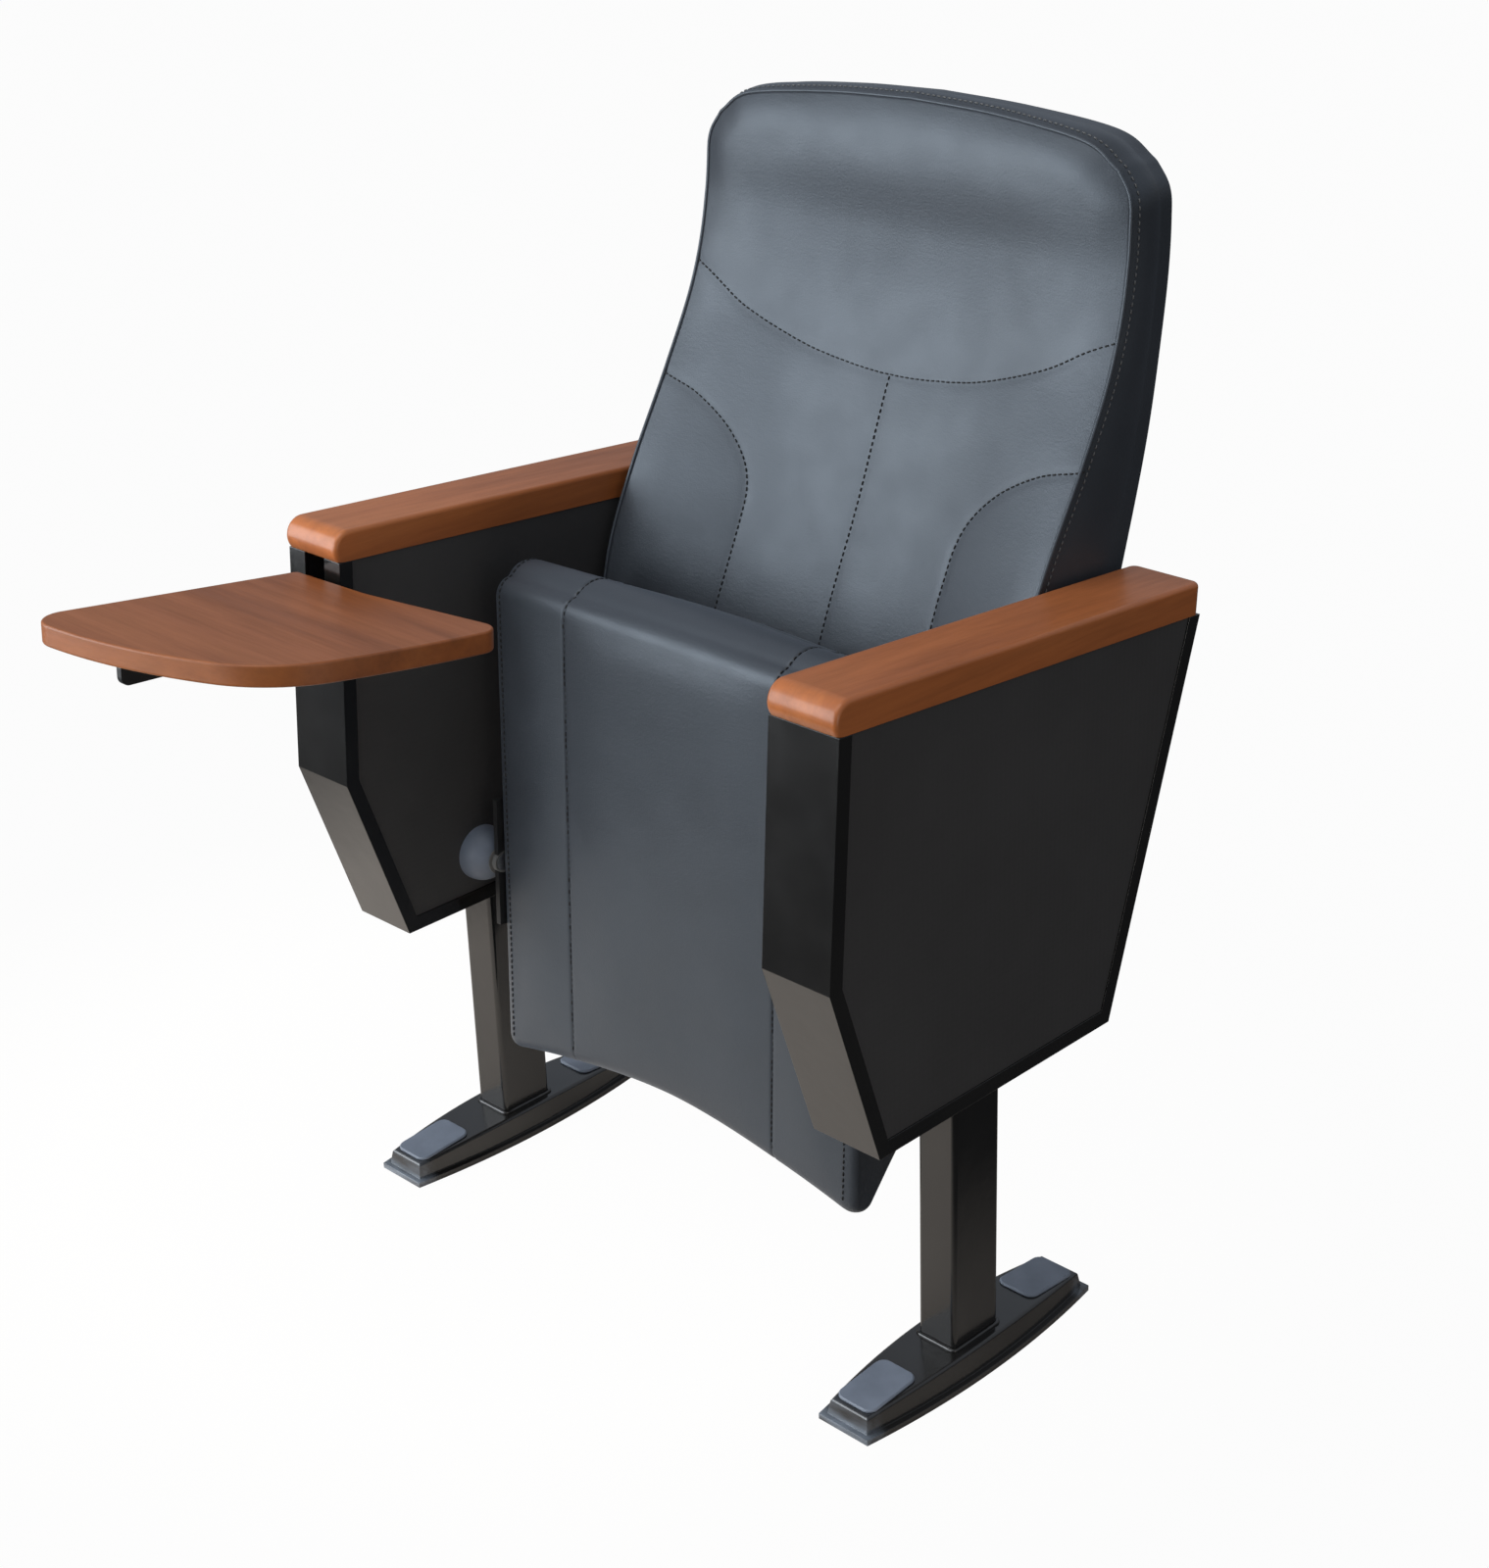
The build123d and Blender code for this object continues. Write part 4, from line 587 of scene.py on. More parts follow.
def normals(mesh):
    values = np.zeros(len(mesh.vertices) * 3)
    mesh.vertex_normals.foreach_get("vector", values)
    return values.reshape(-1, 3)


def even_out(mesh, moved, free):
    """Take fine wrinkles out of a movement by averaging it over the neighbours."""
    ends = np.zeros(len(mesh.edges) * 2, dtype=np.int64)
    mesh.edges.foreach_get("vertices", ends)
    a, b = ends.reshape(-1, 2).T
    count = np.maximum(np.bincount(np.concatenate([a, b]), minlength=len(moved)), 1)[:, None]
    for _ in range(EVEN_ROUNDS):
        total = np.zeros_like(moved)
        np.add.at(total, a, moved[b])
        np.add.at(total, b, moved[a])
        moved = (moved + total / count) / 2 * np.minimum(1, free * 2)
    return moved


def swell(piece, hold, most):
    """Blow the cover up like a cushion; hold is 1 where it is sewn down, and most caps the travel."""
    rest = positions(piece.data)
    free = (1 - np.array(hold))[:, None]
    group = piece.vertex_groups.new(name="sewn")
    for number, weight in enumerate(hold):
        if weight > 0:
            group.add([number], float(weight), "REPLACE")
    cloth = piece.modifiers.new("swell", "CLOTH")
    settings = cloth.settings
    settings.quality = 4
    settings.mass = 0.35
    settings.tension_stiffness = 22
    settings.compression_stiffness = 18
    settings.shear_stiffness = 8
    settings.bending_stiffness = 1.2
    settings.use_pressure = True
    settings.uniform_pressure_force = PRESSURE
    settings.vertex_group_mass = "sewn"
    settings.effector_weights.gravity = 0
    cloth.point_cache.frame_start = 1
    cloth.point_cache.frame_end = FRAMES
    for number in range(1, FRAMES + 1):
        bpy.context.scene.frame_set(number)
    graph = bpy.context.evaluated_depsgraph_get()
    blown = positions(piece.evaluated_get(graph).data)
    moved = blown - rest
    piece.modifiers.remove(cloth)
    piece.vertex_groups.clear()
    bpy.context.scene.frame_set(1)
    length = np.linalg.norm(moved, axis=1, keepdims=True)
    moved *= np.minimum(1.0, most / np.maximum(length, 1e-9))
    moved = even_out(piece.data, moved, free)
    shape = rest + moved
    piece.data.vertices.foreach_set("co", shape.ravel())
    piece.data.update()


def crease_edges(piece, chosen, amount):
    """Keep a sewn line sharp when the mesh is subdivided; chosen holds its vertices' numbers."""
    marks = piece.data.attributes
    if "crease_edge" not in marks:
        marks.new("crease_edge", "FLOAT", "EDGE")
    sharp = marks["crease_edge"]
    for edge in piece.data.edges:
        if edge.vertices[0] in chosen and edge.vertices[1] in chosen:
            sharp.data[edge.index].value = amount


def refine(piece):
    """One level of subdivision, applied."""
    deselect()
    piece.select_set(True)
    bpy.context.view_layer.objects.active = piece
    finer = piece.modifiers.new("finer", "SUBSURF")
    finer.levels = 1
    finer.use_limit_surface = False
    bpy.ops.object.modifier_apply(modifier="finer")
    if "crease_edge" in piece.data.attributes:
        piece.data.attributes.remove(piece.data.attributes["crease_edge"])


seat_xs, ring_size, flat_points, seat_faces = seat_mesh()
seat_cover = new_piece(
    "seat_cushion_cover",
    [seat_place(*point) for point in flat_points],
    seat_faces,
    hide,
    "seat",
)
outward(seat_cover)
side_gap = SEAT_HALF - np.abs(flat_points[:, 0])
seam_gap = np.abs(np.abs(flat_points[:, 0]) - SEAT_SEAM)
sewn = np.where((side_gap < SIDE_HELD) | (seam_gap < 1e-6), 1.0, 0.0)
swell(seat_cover, sewn, SEAT_SWELL)
in_rings = np.arange(len(seam_gap)) < len(seat_xs) * ring_size
seam_numbers = set(np.where((seam_gap < 1e-6) & in_rings)[0].tolist())
drawn_in = (seam_gap < 1e-6)[:, None] * SEAM_PULL
pulled = positions(seat_cover.data) - normals(seat_cover.data) * drawn_in
seat_cover.data.vertices.foreach_set("co", pulled.ravel())
last_ring = range((len(seat_xs) - 1) * ring_size, len(seat_xs) * ring_size)
rim_numbers = set(range(ring_size)) | set(last_ring)
crease_edges(seat_cover, seam_numbers, 0.9)
crease_edges(seat_cover, rim_numbers, 0.5)
seat_lines = {}
for side, place in (("left", SEAT_SEAM), ("right", -SEAT_SEAM)):
    k = min(range(len(seat_xs)), key=lambda number: abs(seat_xs[number] - place))
    seat_lines[side] = pulled[k * ring_size : (k + 1) * ring_size]
refine(seat_cover)
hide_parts("seat_cushion")

# ------------------------------------------------------------------ stitches and welts
# Lock stitches in bonded thread: each shows as a short arch that dips into the cover at its ends.
# A welt is a cord of the same vinyl, sewn into the seam round the face of the back.
STITCH_PITCH = 0.0056
STITCH_LENGTH = 0.0037
STITCH_R = 0.00065
STITCH_SIDES = 5
SEAM_LIFT = 0.0008            # where the seam itself is drawn in
EDGE_STITCH_IN = 0.0105       # rows beside the seat's long edges
STITCH_RINGS = ((-0.5, -1.2), (-0.34, 0.5), (0.34, 0.5), (0.5, -1.2))  # along it, and lift


def tree_of(piece):
    graph = bpy.context.evaluated_depsgraph_get()
    return BVHTree.FromObject(piece, graph)


def spaced(points, pitch):
    """Middle points and directions of steps of one pitch along a line."""
    points = [Vector(point) for point in points]
    steps = [(b - a).length for a, b in zip(points, points[1:])]
    ends = np.concatenate([[0], np.cumsum(steps)])
    found = []
    for number in range(int(ends[-1] / pitch)):
        along = (number + 0.5) * pitch
        k = min(int(np.searchsorted(ends, along)) - 1, len(steps) - 1)
        a, b = points[k], points[k + 1]
        found.append((a.lerp(b, (along - ends[k]) / max(steps[k], 1e-9)), (b - a).normalized()))
    return found


def stitch_row(name, lines, cover, body, thread, lift=0.0002):
    """Stitches along lines that lie on a cover."""
    surface = tree_of(cover)
    points = []
    faces = []
    for line in lines:
        for middle, ahead in spaced(line, STITCH_PITCH):
            spot, up, _, _ = surface.find_nearest(middle)
            sideways = up.cross(ahead).normalized()
            base = len(points)
            for along, raised in STITCH_RINGS:
                centre = spot + ahead * along * STITCH_LENGTH + up * (raised * STITCH_R + lift)
                for turn in range(STITCH_SIDES):
                    angle = 2 * pi * turn / STITCH_SIDES
                    points.append(centre + (sideways * cos(angle) + up * sin(angle)) * STITCH_R)
            for ring in range(len(STITCH_RINGS) - 1):
                for turn in range(STITCH_SIDES):
                    a = base + ring * STITCH_SIDES + turn
                    b = base + ring * STITCH_SIDES + (turn + 1) % STITCH_SIDES
                    faces.append((a, b, b + STITCH_SIDES, a + STITCH_SIDES))
            last = base + (len(STITCH_RINGS) - 1) * STITCH_SIDES
            faces.append(tuple(range(base + STITCH_SIDES - 1, base - 1, -1)))
            faces.append(tuple(range(last, last + STITCH_SIDES)))
    outward(new_piece(name, points, faces, thread, body))


def seat_strip(x, first, last):
    """A line along the cover at one place across the seat, between two places round its ring."""
    ring = seat_ring(x)
    return [seat_place(x, *ring[number % ring_size]) for number in range(first, last)]


nose_end = LONG_CELLS + sum(NOSE_CELLS) + LONG_CELLS
seam_lines = [list(line[:nose_end]) for line in seat_lines.values()]
stitch_row("seat_seam_stitches", seam_lines, seat_cover, "seat", black_thread, SEAM_LIFT)
edge_x = SEAT_HALF - EDGE_STITCH_IN
edge_lines = [seat_strip(side * edge_x, 0, nose_end) for side in (-1, 1)]
stitch_row("seat_edge_stitches", edge_lines, seat_cover, "seat", black_thread)

# ------------------------------------------------------------------ padded back
# Moulded foam on a bent plywood board: a dished face with a bolster down each side, a deep side
# panel that goes over the head, and a welt between them. Lines of stitches quilt the face.
SECTIONS = np.array((        # height, front edge, front middle, rear plane, narrowing
    (0.398, 0.088, 0.104, 0.172, 0.008),
    (0.470, 0.091, 0.123, 0.198, 0.004),
    (0.546, 0.107, 0.153, 0.225, 0.000),
    (0.622, 0.142, 0.188, 0.251, 0.000),
    (0.700, 0.188, 0.218, 0.273, 0.000),
    (0.770, 0.224, 0.242, 0.288, 0.001),
    (0.836, 0.242, 0.249, 0.299, 0.003),
    (0.895, 0.244, 0.246, 0.302, 0.004),
    (0.960, 0.246, 0.250, 0.298, 0.006),
))
BACK_HALF = 0.2305
DISH_POWER = 2.3              # how late the dish rises to the sides
BOLSTER_CROWN = 0.004
BOLSTER_AT, BOLSTER_WIDTH = 0.72, 0.24  # place and half width, as shares of the half width
GUSSET_BULGE = 0.004
BACK_FOOT = 0.399
HEAD_TOP = 0.9465
HEAD_SIDE = 0.868             # where each side starts to turn in
HEAD_TURN = (0.2245, 0.896)
HEAD_CORNER = (0.212, 0.915)  # middle of each rounded corner
HEAD_SHOULDER = (0.178, 0.934)
COVER_ROOM = 0.0163           # the rear cover and its gap behind the foam
HEM_OUT, HEM_IN = 0.0018, 0.0009  # faces of the vinyl hem that wraps the rear cover's rim
HEM_EDGE = 0.0010             # the hem ends this far before the cover's rear face
HEM_ROUND = 0.0020
BOARD_ROOM = 0.0286
BOARD_INSET = 0.0264
FACE_ACROSS, FACE_UP = 84, 100  # mesh cells of the face
GUSSET_CELLS = 16
HEAD_ROLL = 0.009             # how far the face rolls back at the head
SIDE_ROLL = 0.004
ROLL_WIDTH = 0.032
BACK_SWELL = 0.0010
SMILE = (                     # seams of the face: out from the middle, and height
    (0, 0.725), (0.046, 0.7275), (0.099, 0.736), (0.163, 0.757), (0.204, 0.778), (0.229, 0.7885)
)
WING = (
    (0.232, 0.696), (0.190, 0.684), (0.148, 0.659), (0.121, 0.625), (0.116, 0.580), (0.119, 0.500)
)
MIDDLE = ((0, 0.7245), (-0.002, 0.640), (-0.003, 0.420))
QUILT_DEPTH = 0.0006
QUILT_WIDTH = 0.0034


def curve_through(points, count):
    """A smooth line through points (Catmull-Rom), as count + 1 points evenly spaced."""
    points = np.array(points, float)
    padded = np.vstack([2 * points[0] - points[1], points, 2 * points[-1] - points[-2]])
    fine = []
    for k in range(1, len(padded) - 2):
        p0, p1, p2, p3 = padded[k - 1 : k + 3]
        for t in np.linspace(0, 1, 40, endpoint=False):
            fine.append(
                0.5 * (2 * p1 + (p2 - p0) * t + (2 * p0 - 5 * p1 + 4 * p2 - p3) * t**2)
                + 0.5 * (3 * p1 - p0 - 3 * p2 + p3) * t**3
            )
    fine = np.array(fine + [points[-1]])
    steps = np.concatenate([[0], np.cumsum(np.linalg.norm(np.diff(fine, axis=0), axis=1))])
    evenly = np.linspace(0, steps[-1], count + 1)
    return np.stack([np.interp(evenly, steps, fine[:, k]) for k in range(points.shape[1])], axis=1)


section_curve = curve_through(SECTIONS, 200)


def section_at(z, column):
    return np.interp(z, section_curve[:, 0], section_curve[:, column])


def back_half(z):
    return BACK_HALF - section_at(z, 4)


def face_y(x, z):
    """Front face of the back: a dish with a soft bolster down each side."""
    edge = section_at(z, 1)
    middle = section_at(z, 2)
    out = np.clip(np.abs(x) / back_half(z), 0, 1)
    dish = middle - (middle - edge) * out**DISH_POWER
    return dish - BOLSTER_CROWN * np.exp(-(((out - BOLSTER_AT) / BOLSTER_WIDTH) ** 2))


def back_sides():
    """The face's outline from the front: bottom, right, top and left runs of points."""
    lift = HEAD_SIDE - BACK_FOOT
    side = [(back_half(BACK_FOOT + lift * k / 6), BACK_FOOT + lift * k / 6) for k in range(7)]
    side += [HEAD_TURN, HEAD_CORNER]
    right = curve_through(side, FACE_UP)
    head = [HEAD_CORNER, HEAD_SHOULDER, (0.09, 0.9432), (0.0, HEAD_TOP)]
    top = curve_through(head, FACE_ACROSS // 2)
    top = np.vstack([top * (-1, 1), top[-2::-1]])
    across = np.linspace(-right[0, 0], right[0, 0], FACE_ACROSS + 1)
    bottom = np.stack([across, np.full(FACE_ACROSS + 1, BACK_FOOT)], axis=1)
    return bottom, right, top, right * (-1, 1)


def face_grid():
    """Points of the face seen from the front, blended from its four sides."""
    bottom, right, top, left = back_sides()
    s = np.linspace(0, 1, FACE_ACROSS + 1)[None, :, None]
    t = np.linspace(0, 1, FACE_UP + 1)[:, None, None]
    grid = (1 - t) * bottom[None] + t * top[None] + (1 - s) * left[:, None] + s * right[:, None]
    low_ends = (1 - s) * (1 - t) * bottom[0] + s * (1 - t) * bottom[-1]
    grid -= low_ends + (1 - s) * t * top[0] + s * t * top[-1]
    return grid


def outline_loop(grid_numbers):
    """Numbers of a grid's border, once round, from the lower left."""
    rows, columns = grid_numbers.shape
    loop = list(grid_numbers[0, :]) + list(grid_numbers[1:, -1])
    return loop + list(grid_numbers[-1, -2::-1]) + list(grid_numbers[-2:0:-1, 0])


def nearest_gap(points, line):
    """Distance of each point to the nearest of a line's points."""
    return np.linalg.norm(points[:, None, :] - line[None, :, :], axis=2).min(axis=1)


grid = face_grid()
flat = grid.reshape(-1, 2)
outline = np.vstack([curve_through(side, 400) for side in back_sides()[1:]])
edge_gap = nearest_gap(flat, outline)
roll = SIDE_ROLL + (HEAD_ROLL - SIDE_ROLL) * np.clip((flat[:, 1] - 0.84) / 0.07, 0, 1)
depth = face_y(flat[:, 0], flat[:, 1]) + roll * np.clip(1 - edge_gap / ROLL_WIDTH, 0, 1) ** 2
points = [tuple(point) for point in np.stack([flat[:, 0], depth, flat[:, 1]], axis=1)]
numbers = np.arange(len(points)).reshape(FACE_UP + 1, FACE_ACROSS + 1)
faces = []
for j in range(FACE_UP):
    for i in range(FACE_ACROSS):
        faces.append((numbers[j, i], numbers[j, i + 1], numbers[j + 1, i + 1], numbers[j + 1, i]))
front_loop = outline_loop(numbers)
front_points = np.array([points[number] for number in front_loop])
around = np.roll(front_points, -1, axis=0) - np.roll(front_points, 1, axis=0)
away = np.stack([around[:, 2], np.zeros(len(around)), -around[:, 0]], axis=1)
away /= np.maximum(np.linalg.norm(away, axis=1, keepdims=True), 1e-9)
away[front_points[:, 2] < BACK_FOOT + 1e-6] = (0, 0, 0)


def add_loop(ring, previous):
    """Join a new ring of points to the last one and return its numbers."""
    start = len(points)
    points.extend(tuple(point) for point in ring)
    size = len(ring)
    for k in range(size):
        n = (k + 1) % size
        faces.append((previous[k], start + k, start + n, previous[n]))
    return list(range(start, start + size))


loop = front_loop
rear = section_at(front_points[:, 2], 3) - COVER_ROOM
for k in range(1, GUSSET_CELLS + 1):
    share = k / GUSSET_CELLS
    ring = front_points.copy()
    ring[:, 1] = front_points[:, 1] + (rear - front_points[:, 1]) * share
    ring += away * (GUSSET_BULGE * 4 * share * (1 - share) + HEM_OUT * share)
    loop = add_loop(ring, loop)
rear_face = section_at(front_points[:, 2], 3)
hem = (
    (HEM_OUT, HEM_EDGE + HEM_ROUND),
    (HEM_OUT, HEM_EDGE + HEM_ROUND / 3),
    (HEM_IN, HEM_EDGE),
)
for out, before in hem:
    ring = front_points + away * out
    ring[:, 1] = rear_face - before
    loop = add_loop(ring, loop)
ring = front_points + away * HEM_IN
ring[:, 1] = rear_face - COVER_ROOM + HEM_EDGE
loop = add_loop(ring, loop)
middle_of_face = np.array((0, 0, 0.66))
reach = np.linalg.norm(front_points * (1, 0, 1) - middle_of_face, axis=1)
shrink = 1 - BOARD_INSET / np.maximum(reach, 0.1)
inset = middle_of_face + (front_points - middle_of_face) * shrink[:, None]
inset[:, 1] = section_at(inset[:, 2], 3) - COVER_ROOM
loop = add_loop(inset, loop)
step = inset.copy()
step[:, 1] = section_at(step[:, 2], 3) - BOARD_ROOM
loop = add_loop(step, loop)
for share in (0.75, 0.5, 0.25, 0.08):
    ring = middle_of_face + (step - middle_of_face) * share
    ring[:, 1] = section_at(ring[:, 2], 3) - BOARD_ROOM
    loop = add_loop(ring, loop)
faces.append(tuple(loop[::-1]))

back_cover = new_piece("back_cushion_cover", points, faces, hide, "stand")
outward(back_cover)
smile = [(-x, z) for x, z in SMILE[:0:-1]] + list(SMILE)
quilt = [curve_through(line, 500) for line in (smile, WING, [(-x, z) for x, z in WING], MIDDLE)]
shape = positions(back_cover.data)
is_face = np.arange(len(shape)) < len(flat)
quilt_gap = np.full(len(shape), 1.0)
quilt_gap[is_face] = np.min([nearest_gap(flat, line) for line in quilt], axis=0)
hold = np.ones(len(shape))
hold[is_face] = np.clip(1 - (quilt_gap[is_face] - 0.003) / 0.004, 0, 1)
gusset_first = len(flat)
gusset_last = gusset_first + len(front_loop) * (GUSSET_CELLS - 2)
hold[gusset_first + len(front_loop) : gusset_last] = 0.35
hold[front_loop] = 1.0
swell(back_cover, hold, BACK_SWELL)
crease_edges(back_cover, set(front_loop), 0.8)
refine(back_cover)

shape = positions(back_cover.data)
facing = normals(back_cover.data)
on_face = (facing[:, 1] < -0.35) & (shape[:, 1] < section_at(shape[:, 2], 3) - 0.035)
candidates = np.where(on_face)[0]
seen = shape[candidates][:, (0, 2)]
for line in quilt:
    gap = nearest_gap(seen, line)
    shape[candidates, 1] += QUILT_DEPTH * np.exp(-((gap / QUILT_WIDTH) ** 2))
back_cover.data.vertices.foreach_set("co", shape.ravel())
back_cover.data.update()
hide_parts("back_cushion")

back_surface = tree_of(back_cover)


def on_back(x, z):
    """A point of the face, straight behind a place seen from the front."""
    spot, _, _, _ = back_surface.ray_cast(Vector((x, -0.5, z)), Vector((0, 1, 0)))
    return spot


quilt_lines = []
for line in quilt:
    spots = [on_back(x, z) for x, z in line]
    quilt_lines.append([spot for spot in spots if spot is not None and spot.y < 0.3])
stitch_row("back_quilt_stitches", quilt_lines, back_cover, "stand", black_thread)

WELT_R = 0.0016
WELT_SIDES = 8
open_line = np.where(front_points[:, 2] > BACK_FOOT + 1e-6)[0]
welt_line = front_points[open_line] + away[open_line] * 0.0006


def tube(name, line, radius, sides, material, body):
    """A cord of even thickness along a line, closed at its ends."""
    line = [Vector(point) for point in line]
    points = []
    faces = []
    side = Vector((0, 1, 0))
    for k, point in enumerate(line):
        ahead = (line[min(k + 1, len(line) - 1)] - line[max(k - 1, 0)]).normalized()
        side = (side - ahead * side.dot(ahead)).normalized()
        up = ahead.cross(side)
        for turn in range(sides):
            angle = 2 * pi * turn / sides
            points.append(point + (side * cos(angle) + up * sin(angle)) * radius)
    for k in range(len(line) - 1):
        for turn in range(sides):
            a = k * sides + turn
            b = k * sides + (turn + 1) % sides
            faces.append((a, b, b + sides, a + sides))
    faces.append(tuple(range(sides)))
    faces.append(tuple(range(len(points) - 1, len(points) - sides - 1, -1)))
    outward(new_piece(name, points, faces, material, body))


tube("back_welt", welt_line, WELT_R, WELT_SIDES, hide, "stand")
topstitch = front_points[open_line] + away[open_line] * 0.002 + np.array((0, 0.0075, 0))
stitch_row("back_edge_stitches", [topstitch], back_cover, "stand", grey_thread)

# ------------------------------------------------------------------ wooden armrests and tablet
# Solid beech armrests and a veneered writing board, stained red brown and sprayed with a satin
# lacquer. The grain runs along each piece.
WOOD_DARK = (0.230, 0.066, 0.018)
WOOD = (0.360, 0.108, 0.029)
WOOD_LIGHT = (0.450, 0.150, 0.044)
PORES = 1500.0


def stained_wood(name, stretch, lacquer, painted_light_scale):
    """Stained timber with its grain along the axis whose stretch is smallest."""
    material, tree, shader, where = new_material(name)
    figure = add_noise(tree, where, 16.0, 8.0, 0.62, stretch)
    # The last argument scales the whole stain lighter or darker: painted light and shade.
    stains = [(*(painted_light_scale * part for part in stain), 1) for stain in (WOOD_DARK, WOOD, WOOD_LIGHT)]
    tone = add_ramp(tree, figure, list(zip((0.25, 0.5, 0.8), stains)))
    lines = add_noise(tree, where, 85.0, 6.0, 0.7, stretch)
    darker = add_ramp(tree, lines, [(0.32, 0.78), (0.6, 1.0)])
    mix = tree.nodes.new("ShaderNodeMix")
    mix.data_type = "RGBA"
    mix.blend_type = "MULTIPLY"
    mix.inputs["Factor"].default_value = 1.0
    tree.links.new(tone, mix.inputs["A"])
    tree.links.new(darker, mix.inputs["B"])
    tree.links.new(mix.outputs["Result"], shader.inputs["Base Color"])
    sheen = add_ramp(tree, lines, [(0.3, 0.44), (0.7, 0.32)])
    tree.links.new(sheen, shader.inputs["Roughness"])
    shader.inputs["Specular IOR Level"].default_value = 0.38
    shader.inputs["Coat Weight"].default_value = lacquer
    shader.inputs["Coat Roughness"].default_value = 0.18
    pores = add_bump(tree, add_noise(tree, where, PORES, 3.0, 0.6, stretch), 0.25, 0.0002)
    pores = add_bump(tree, lines, 0.12, 0.0004, pores)
    tree.links.new(pores, shader.inputs["Normal"])
    return material


# The armrests' stain is made 1.2 times as light and the board's 0.8 times, as the board stands nearer
# the window light: painted light and shade.
arm_wood = stained_wood("stained_beech", (1.0, 0.06, 1.0), 0.20, 1.2)
board_wood = stained_wood("stained_veneer", (0.07, 1.0, 1.0), 0.03, 0.8)
dress(arm_wood, "armrest_left", "armrest_lid_right")
dress(board_wood, "tablet_board")

# ------------------------------------------------------------------ floor, light and camera
# A floor that the camera sees as nearly plain white, but that is dark away from the seat for light
# and reflections. Four soft square lights: two in front, one overhead and a warm one on the
# sitter's left. The camera stands where the seat is looked at from.
FLOOR_SIZE = 60.0
POOL_LIGHT, POOL_DARK = (0.90, 0.79, 0.68, 1), (0.07, 0.07, 0.07, 1)
POOL_MIDDLE = (-0.25, 0.0, 0.0)
POOL_NEAR, POOL_FAR = 0.44, 0.78  # pale up to the first distance, dark from the second
CAMERA_WHITE = 0.97           # share of plain white in what the camera sees of the floor
SEAT_MIDDLE = Vector((0.0, -0.02, 0.5))

bpy.ops.mesh.primitive_plane_add(size=FLOOR_SIZE, location=(0, 0, 0))
floor = bpy.context.object
floor.name = "floor"
pale = bpy.data.materials.new("pale_floor")
pale.use_nodes = True
tree = pale.node_tree
shader = tree.nodes["Principled BSDF"]
where = tree.nodes.new("ShaderNodeTexCoord").outputs["Object"]
distance = tree.nodes.new("ShaderNodeVectorMath")
distance.operation = "DISTANCE"
distance.inputs[1].default_value = POOL_MIDDLE
tree.links.new(where, distance.inputs[0])
near = [(POOL_NEAR, POOL_LIGHT), (POOL_FAR, POOL_DARK)]
tree.links.new(add_ramp(tree, distance.outputs["Value"], near), shader.inputs["Base Color"])
shader.inputs["Roughness"].default_value = 0.9
shader.inputs["Specular IOR Level"].default_value = 0.0
glow = tree.nodes.new("ShaderNodeEmission")
path = tree.nodes.new("ShaderNodeLightPath")
seen = tree.nodes.new("ShaderNodeMath")
seen.operation = "MULTIPLY"
seen.inputs[1].default_value = CAMERA_WHITE
blend = tree.nodes.new("ShaderNodeMixShader")
tree.links.new(path.outputs["Is Camera Ray"], seen.inputs[0])
tree.links.new(seen.outputs[0], blend.inputs[0])
tree.links.new(shader.outputs[0], blend.inputs[1])
tree.links.new(glow.outputs[0], blend.inputs[2])
tree.links.new(blend.outputs[0], tree.nodes["Material Output"].inputs["Surface"])
floor.data.materials.append(pale)

SKY = [(0.48, 0.08), (0.56, 0.20), (0.68, (0.36, 0.40, 0.46, 1)), (1.0, (0.46, 0.48, 0.52, 1))]

world = bpy.data.worlds.new("studio")
bpy.context.scene.world = world
world.use_nodes = True
tree = world.node_tree
sky = tree.nodes["Background"]
direction = tree.nodes.new("ShaderNodeTexCoord").outputs["Generated"]
split = tree.nodes.new("ShaderNodeSeparateXYZ")
tree.links.new(direction, split.inputs[0])
height = tree.nodes.new("ShaderNodeMapRange")
height.inputs["From Min"].default_value = -1
tree.links.new(split.outputs["Z"], height.inputs["Value"])
tree.links.new(add_ramp(tree, height.outputs["Result"], SKY), sky.inputs["Color"])
white = tree.nodes.new("ShaderNodeBackground")
white.inputs["Strength"].default_value = 1.0
path = tree.nodes.new("ShaderNodeLightPath")
either = tree.nodes.new("ShaderNodeMath")
either.operation = "MAXIMUM"
blend = tree.nodes.new("ShaderNodeMixShader")
tree.links.new(path.outputs["Is Camera Ray"], either.inputs[0])
tree.links.new(path.outputs["Is Transmission Ray"], either.inputs[1])
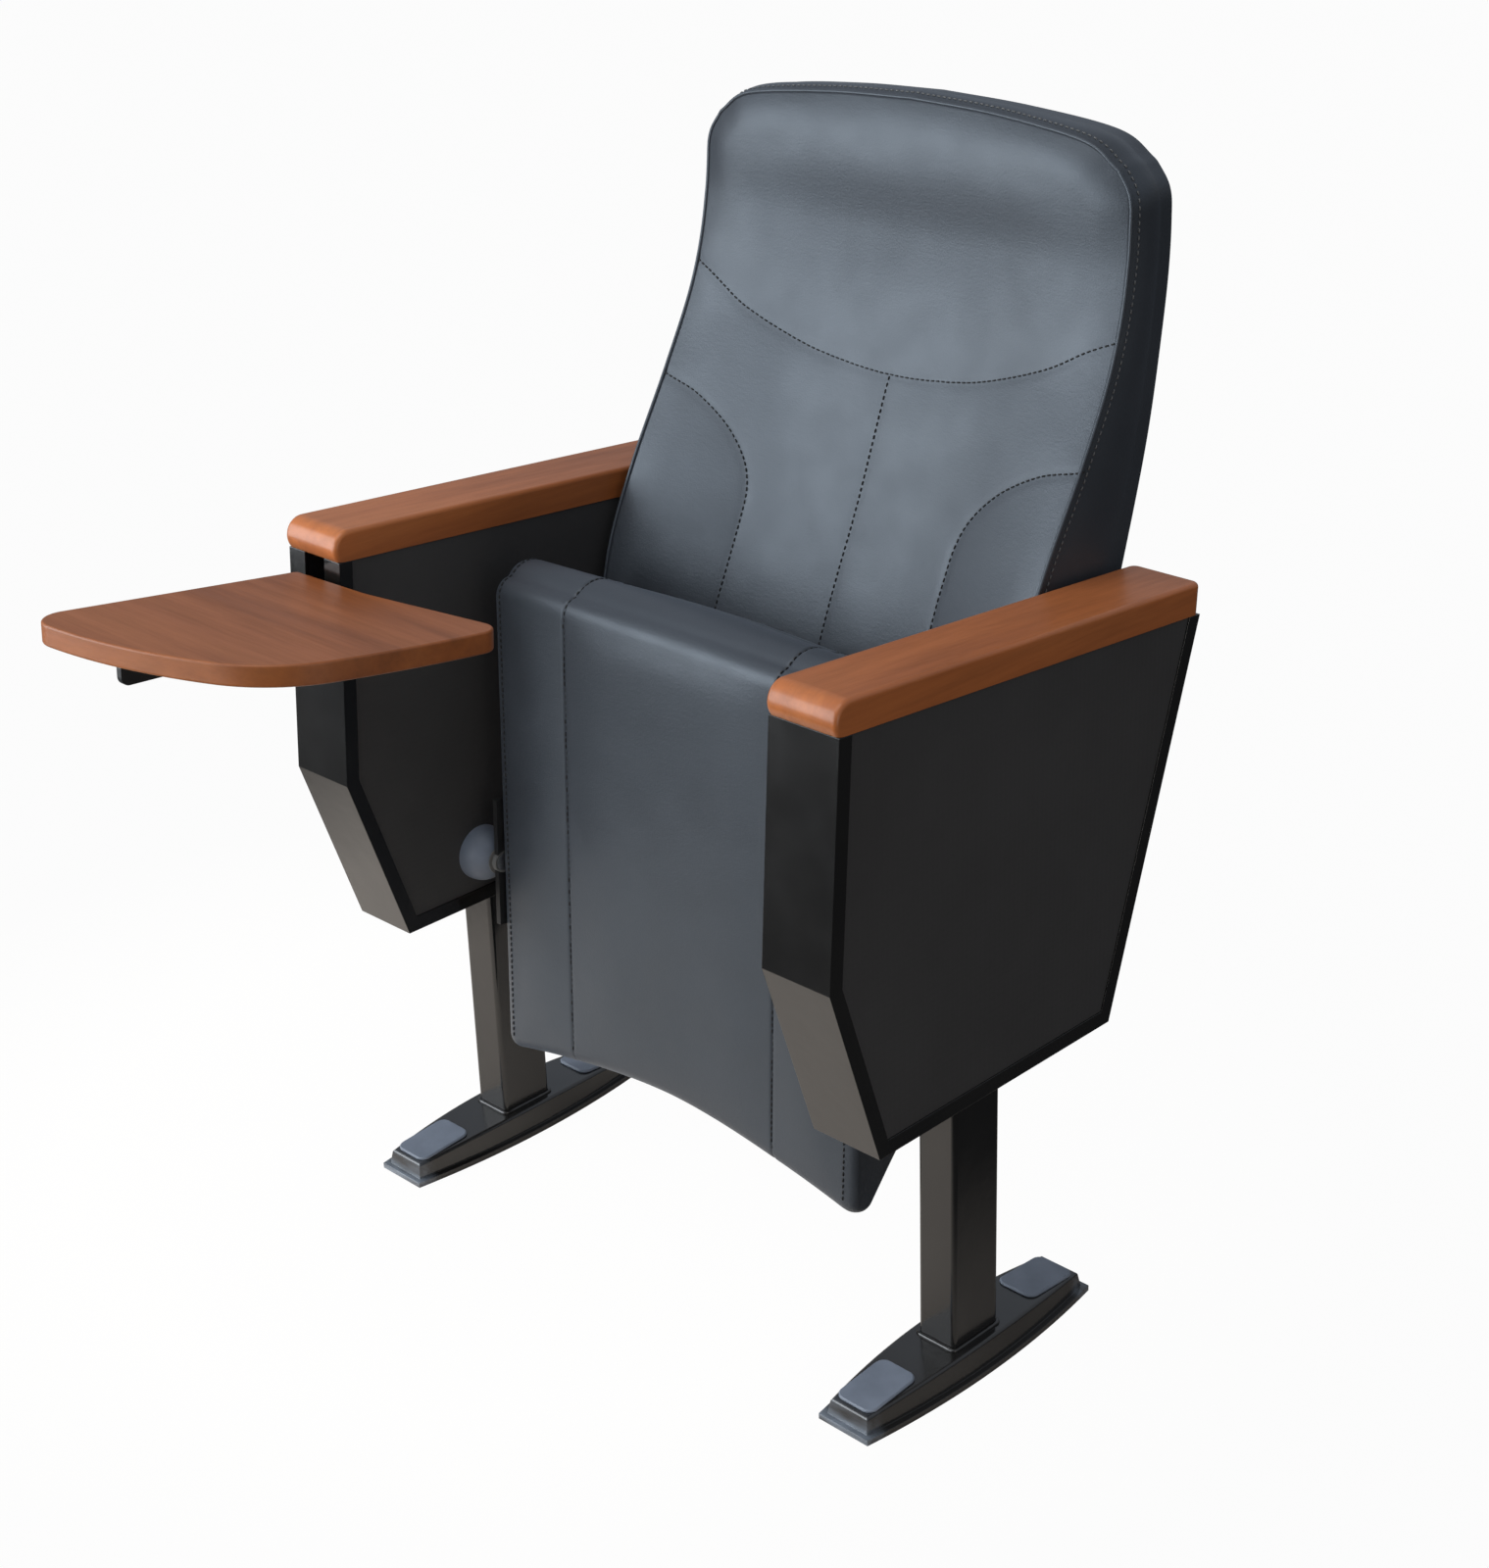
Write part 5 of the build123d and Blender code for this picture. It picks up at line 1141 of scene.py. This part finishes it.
tree.links.new(either.outputs[0], blend.inputs[0])
tree.links.new(sky.outputs[0], blend.inputs[1])
tree.links.new(white.outputs[0], blend.inputs[2])
tree.links.new(blend.outputs[0], tree.nodes["World Output"].inputs["Surface"])


def soft_light(name, direction, distance, size, radiance, tint=(1, 1, 1)):
    """A square light that faces the seat; radiance is how bright its face looks."""
    data = bpy.data.lights.new(name, "AREA")
    data.shape = "SQUARE"
    data.size = size
    data.energy = radiance * pi * size * size
    data.color = tint
    light = bpy.data.objects.new(name, data)
    towards = Vector(direction).normalized()
    light.location = SEAT_MIDDLE + towards * distance
    light.rotation_euler = towards.to_track_quat("Z", "Y").to_euler()
    bpy.context.scene.collection.objects.link(light)


soft_light("window", (-0.66, -0.72, 0.24), 2.3, 1.8, 4.9, (0.90, 0.95, 1.0))
soft_light("doorway", (-0.10, -1.0, 0.10), 2.6, 1.7, 2.6, (0.90, 0.95, 1.0))
soft_light("ceiling", (-0.10, -0.45, 1.0), 2.6, 1.8, 2.0)
soft_light("bounce", (0.95, -0.25, -0.02), 2.6, 1.0, 2.4, (1.0, 0.93, 0.86))

CAMERA_PLACE = (1.4456, -1.3935, 1.3392)
CAMERA_AZIMUTH = radians(45.21)
CAMERA_HEIGHT = radians(24.41)
CAMERA_ROLL = radians(-1.94)
LENS = 61.43
a, e, r = CAMERA_AZIMUTH, CAMERA_HEIGHT, CAMERA_ROLL
back = Vector((sin(a) * cos(e), -cos(a) * cos(e), sin(e)))
right = Vector((cos(a), sin(a), 0))
up = back.cross(right)
turned_right = right * cos(r) + up * sin(r)
turned_up = up * cos(r) - right * sin(r)
lens = bpy.data.cameras.new("view")
lens.lens = LENS
lens.sensor_width = 36.0
lens.clip_end = 200.0
camera = bpy.data.objects.new("view", lens)
turn = Matrix((turned_right, turned_up, back)).transposed()
camera.matrix_world = Matrix.Translation(CAMERA_PLACE) @ turn.to_4x4()
bpy.context.scene.collection.objects.link(camera)
bpy.context.scene.camera = camera
bpy.context.scene.view_settings.view_transform = "Standard"
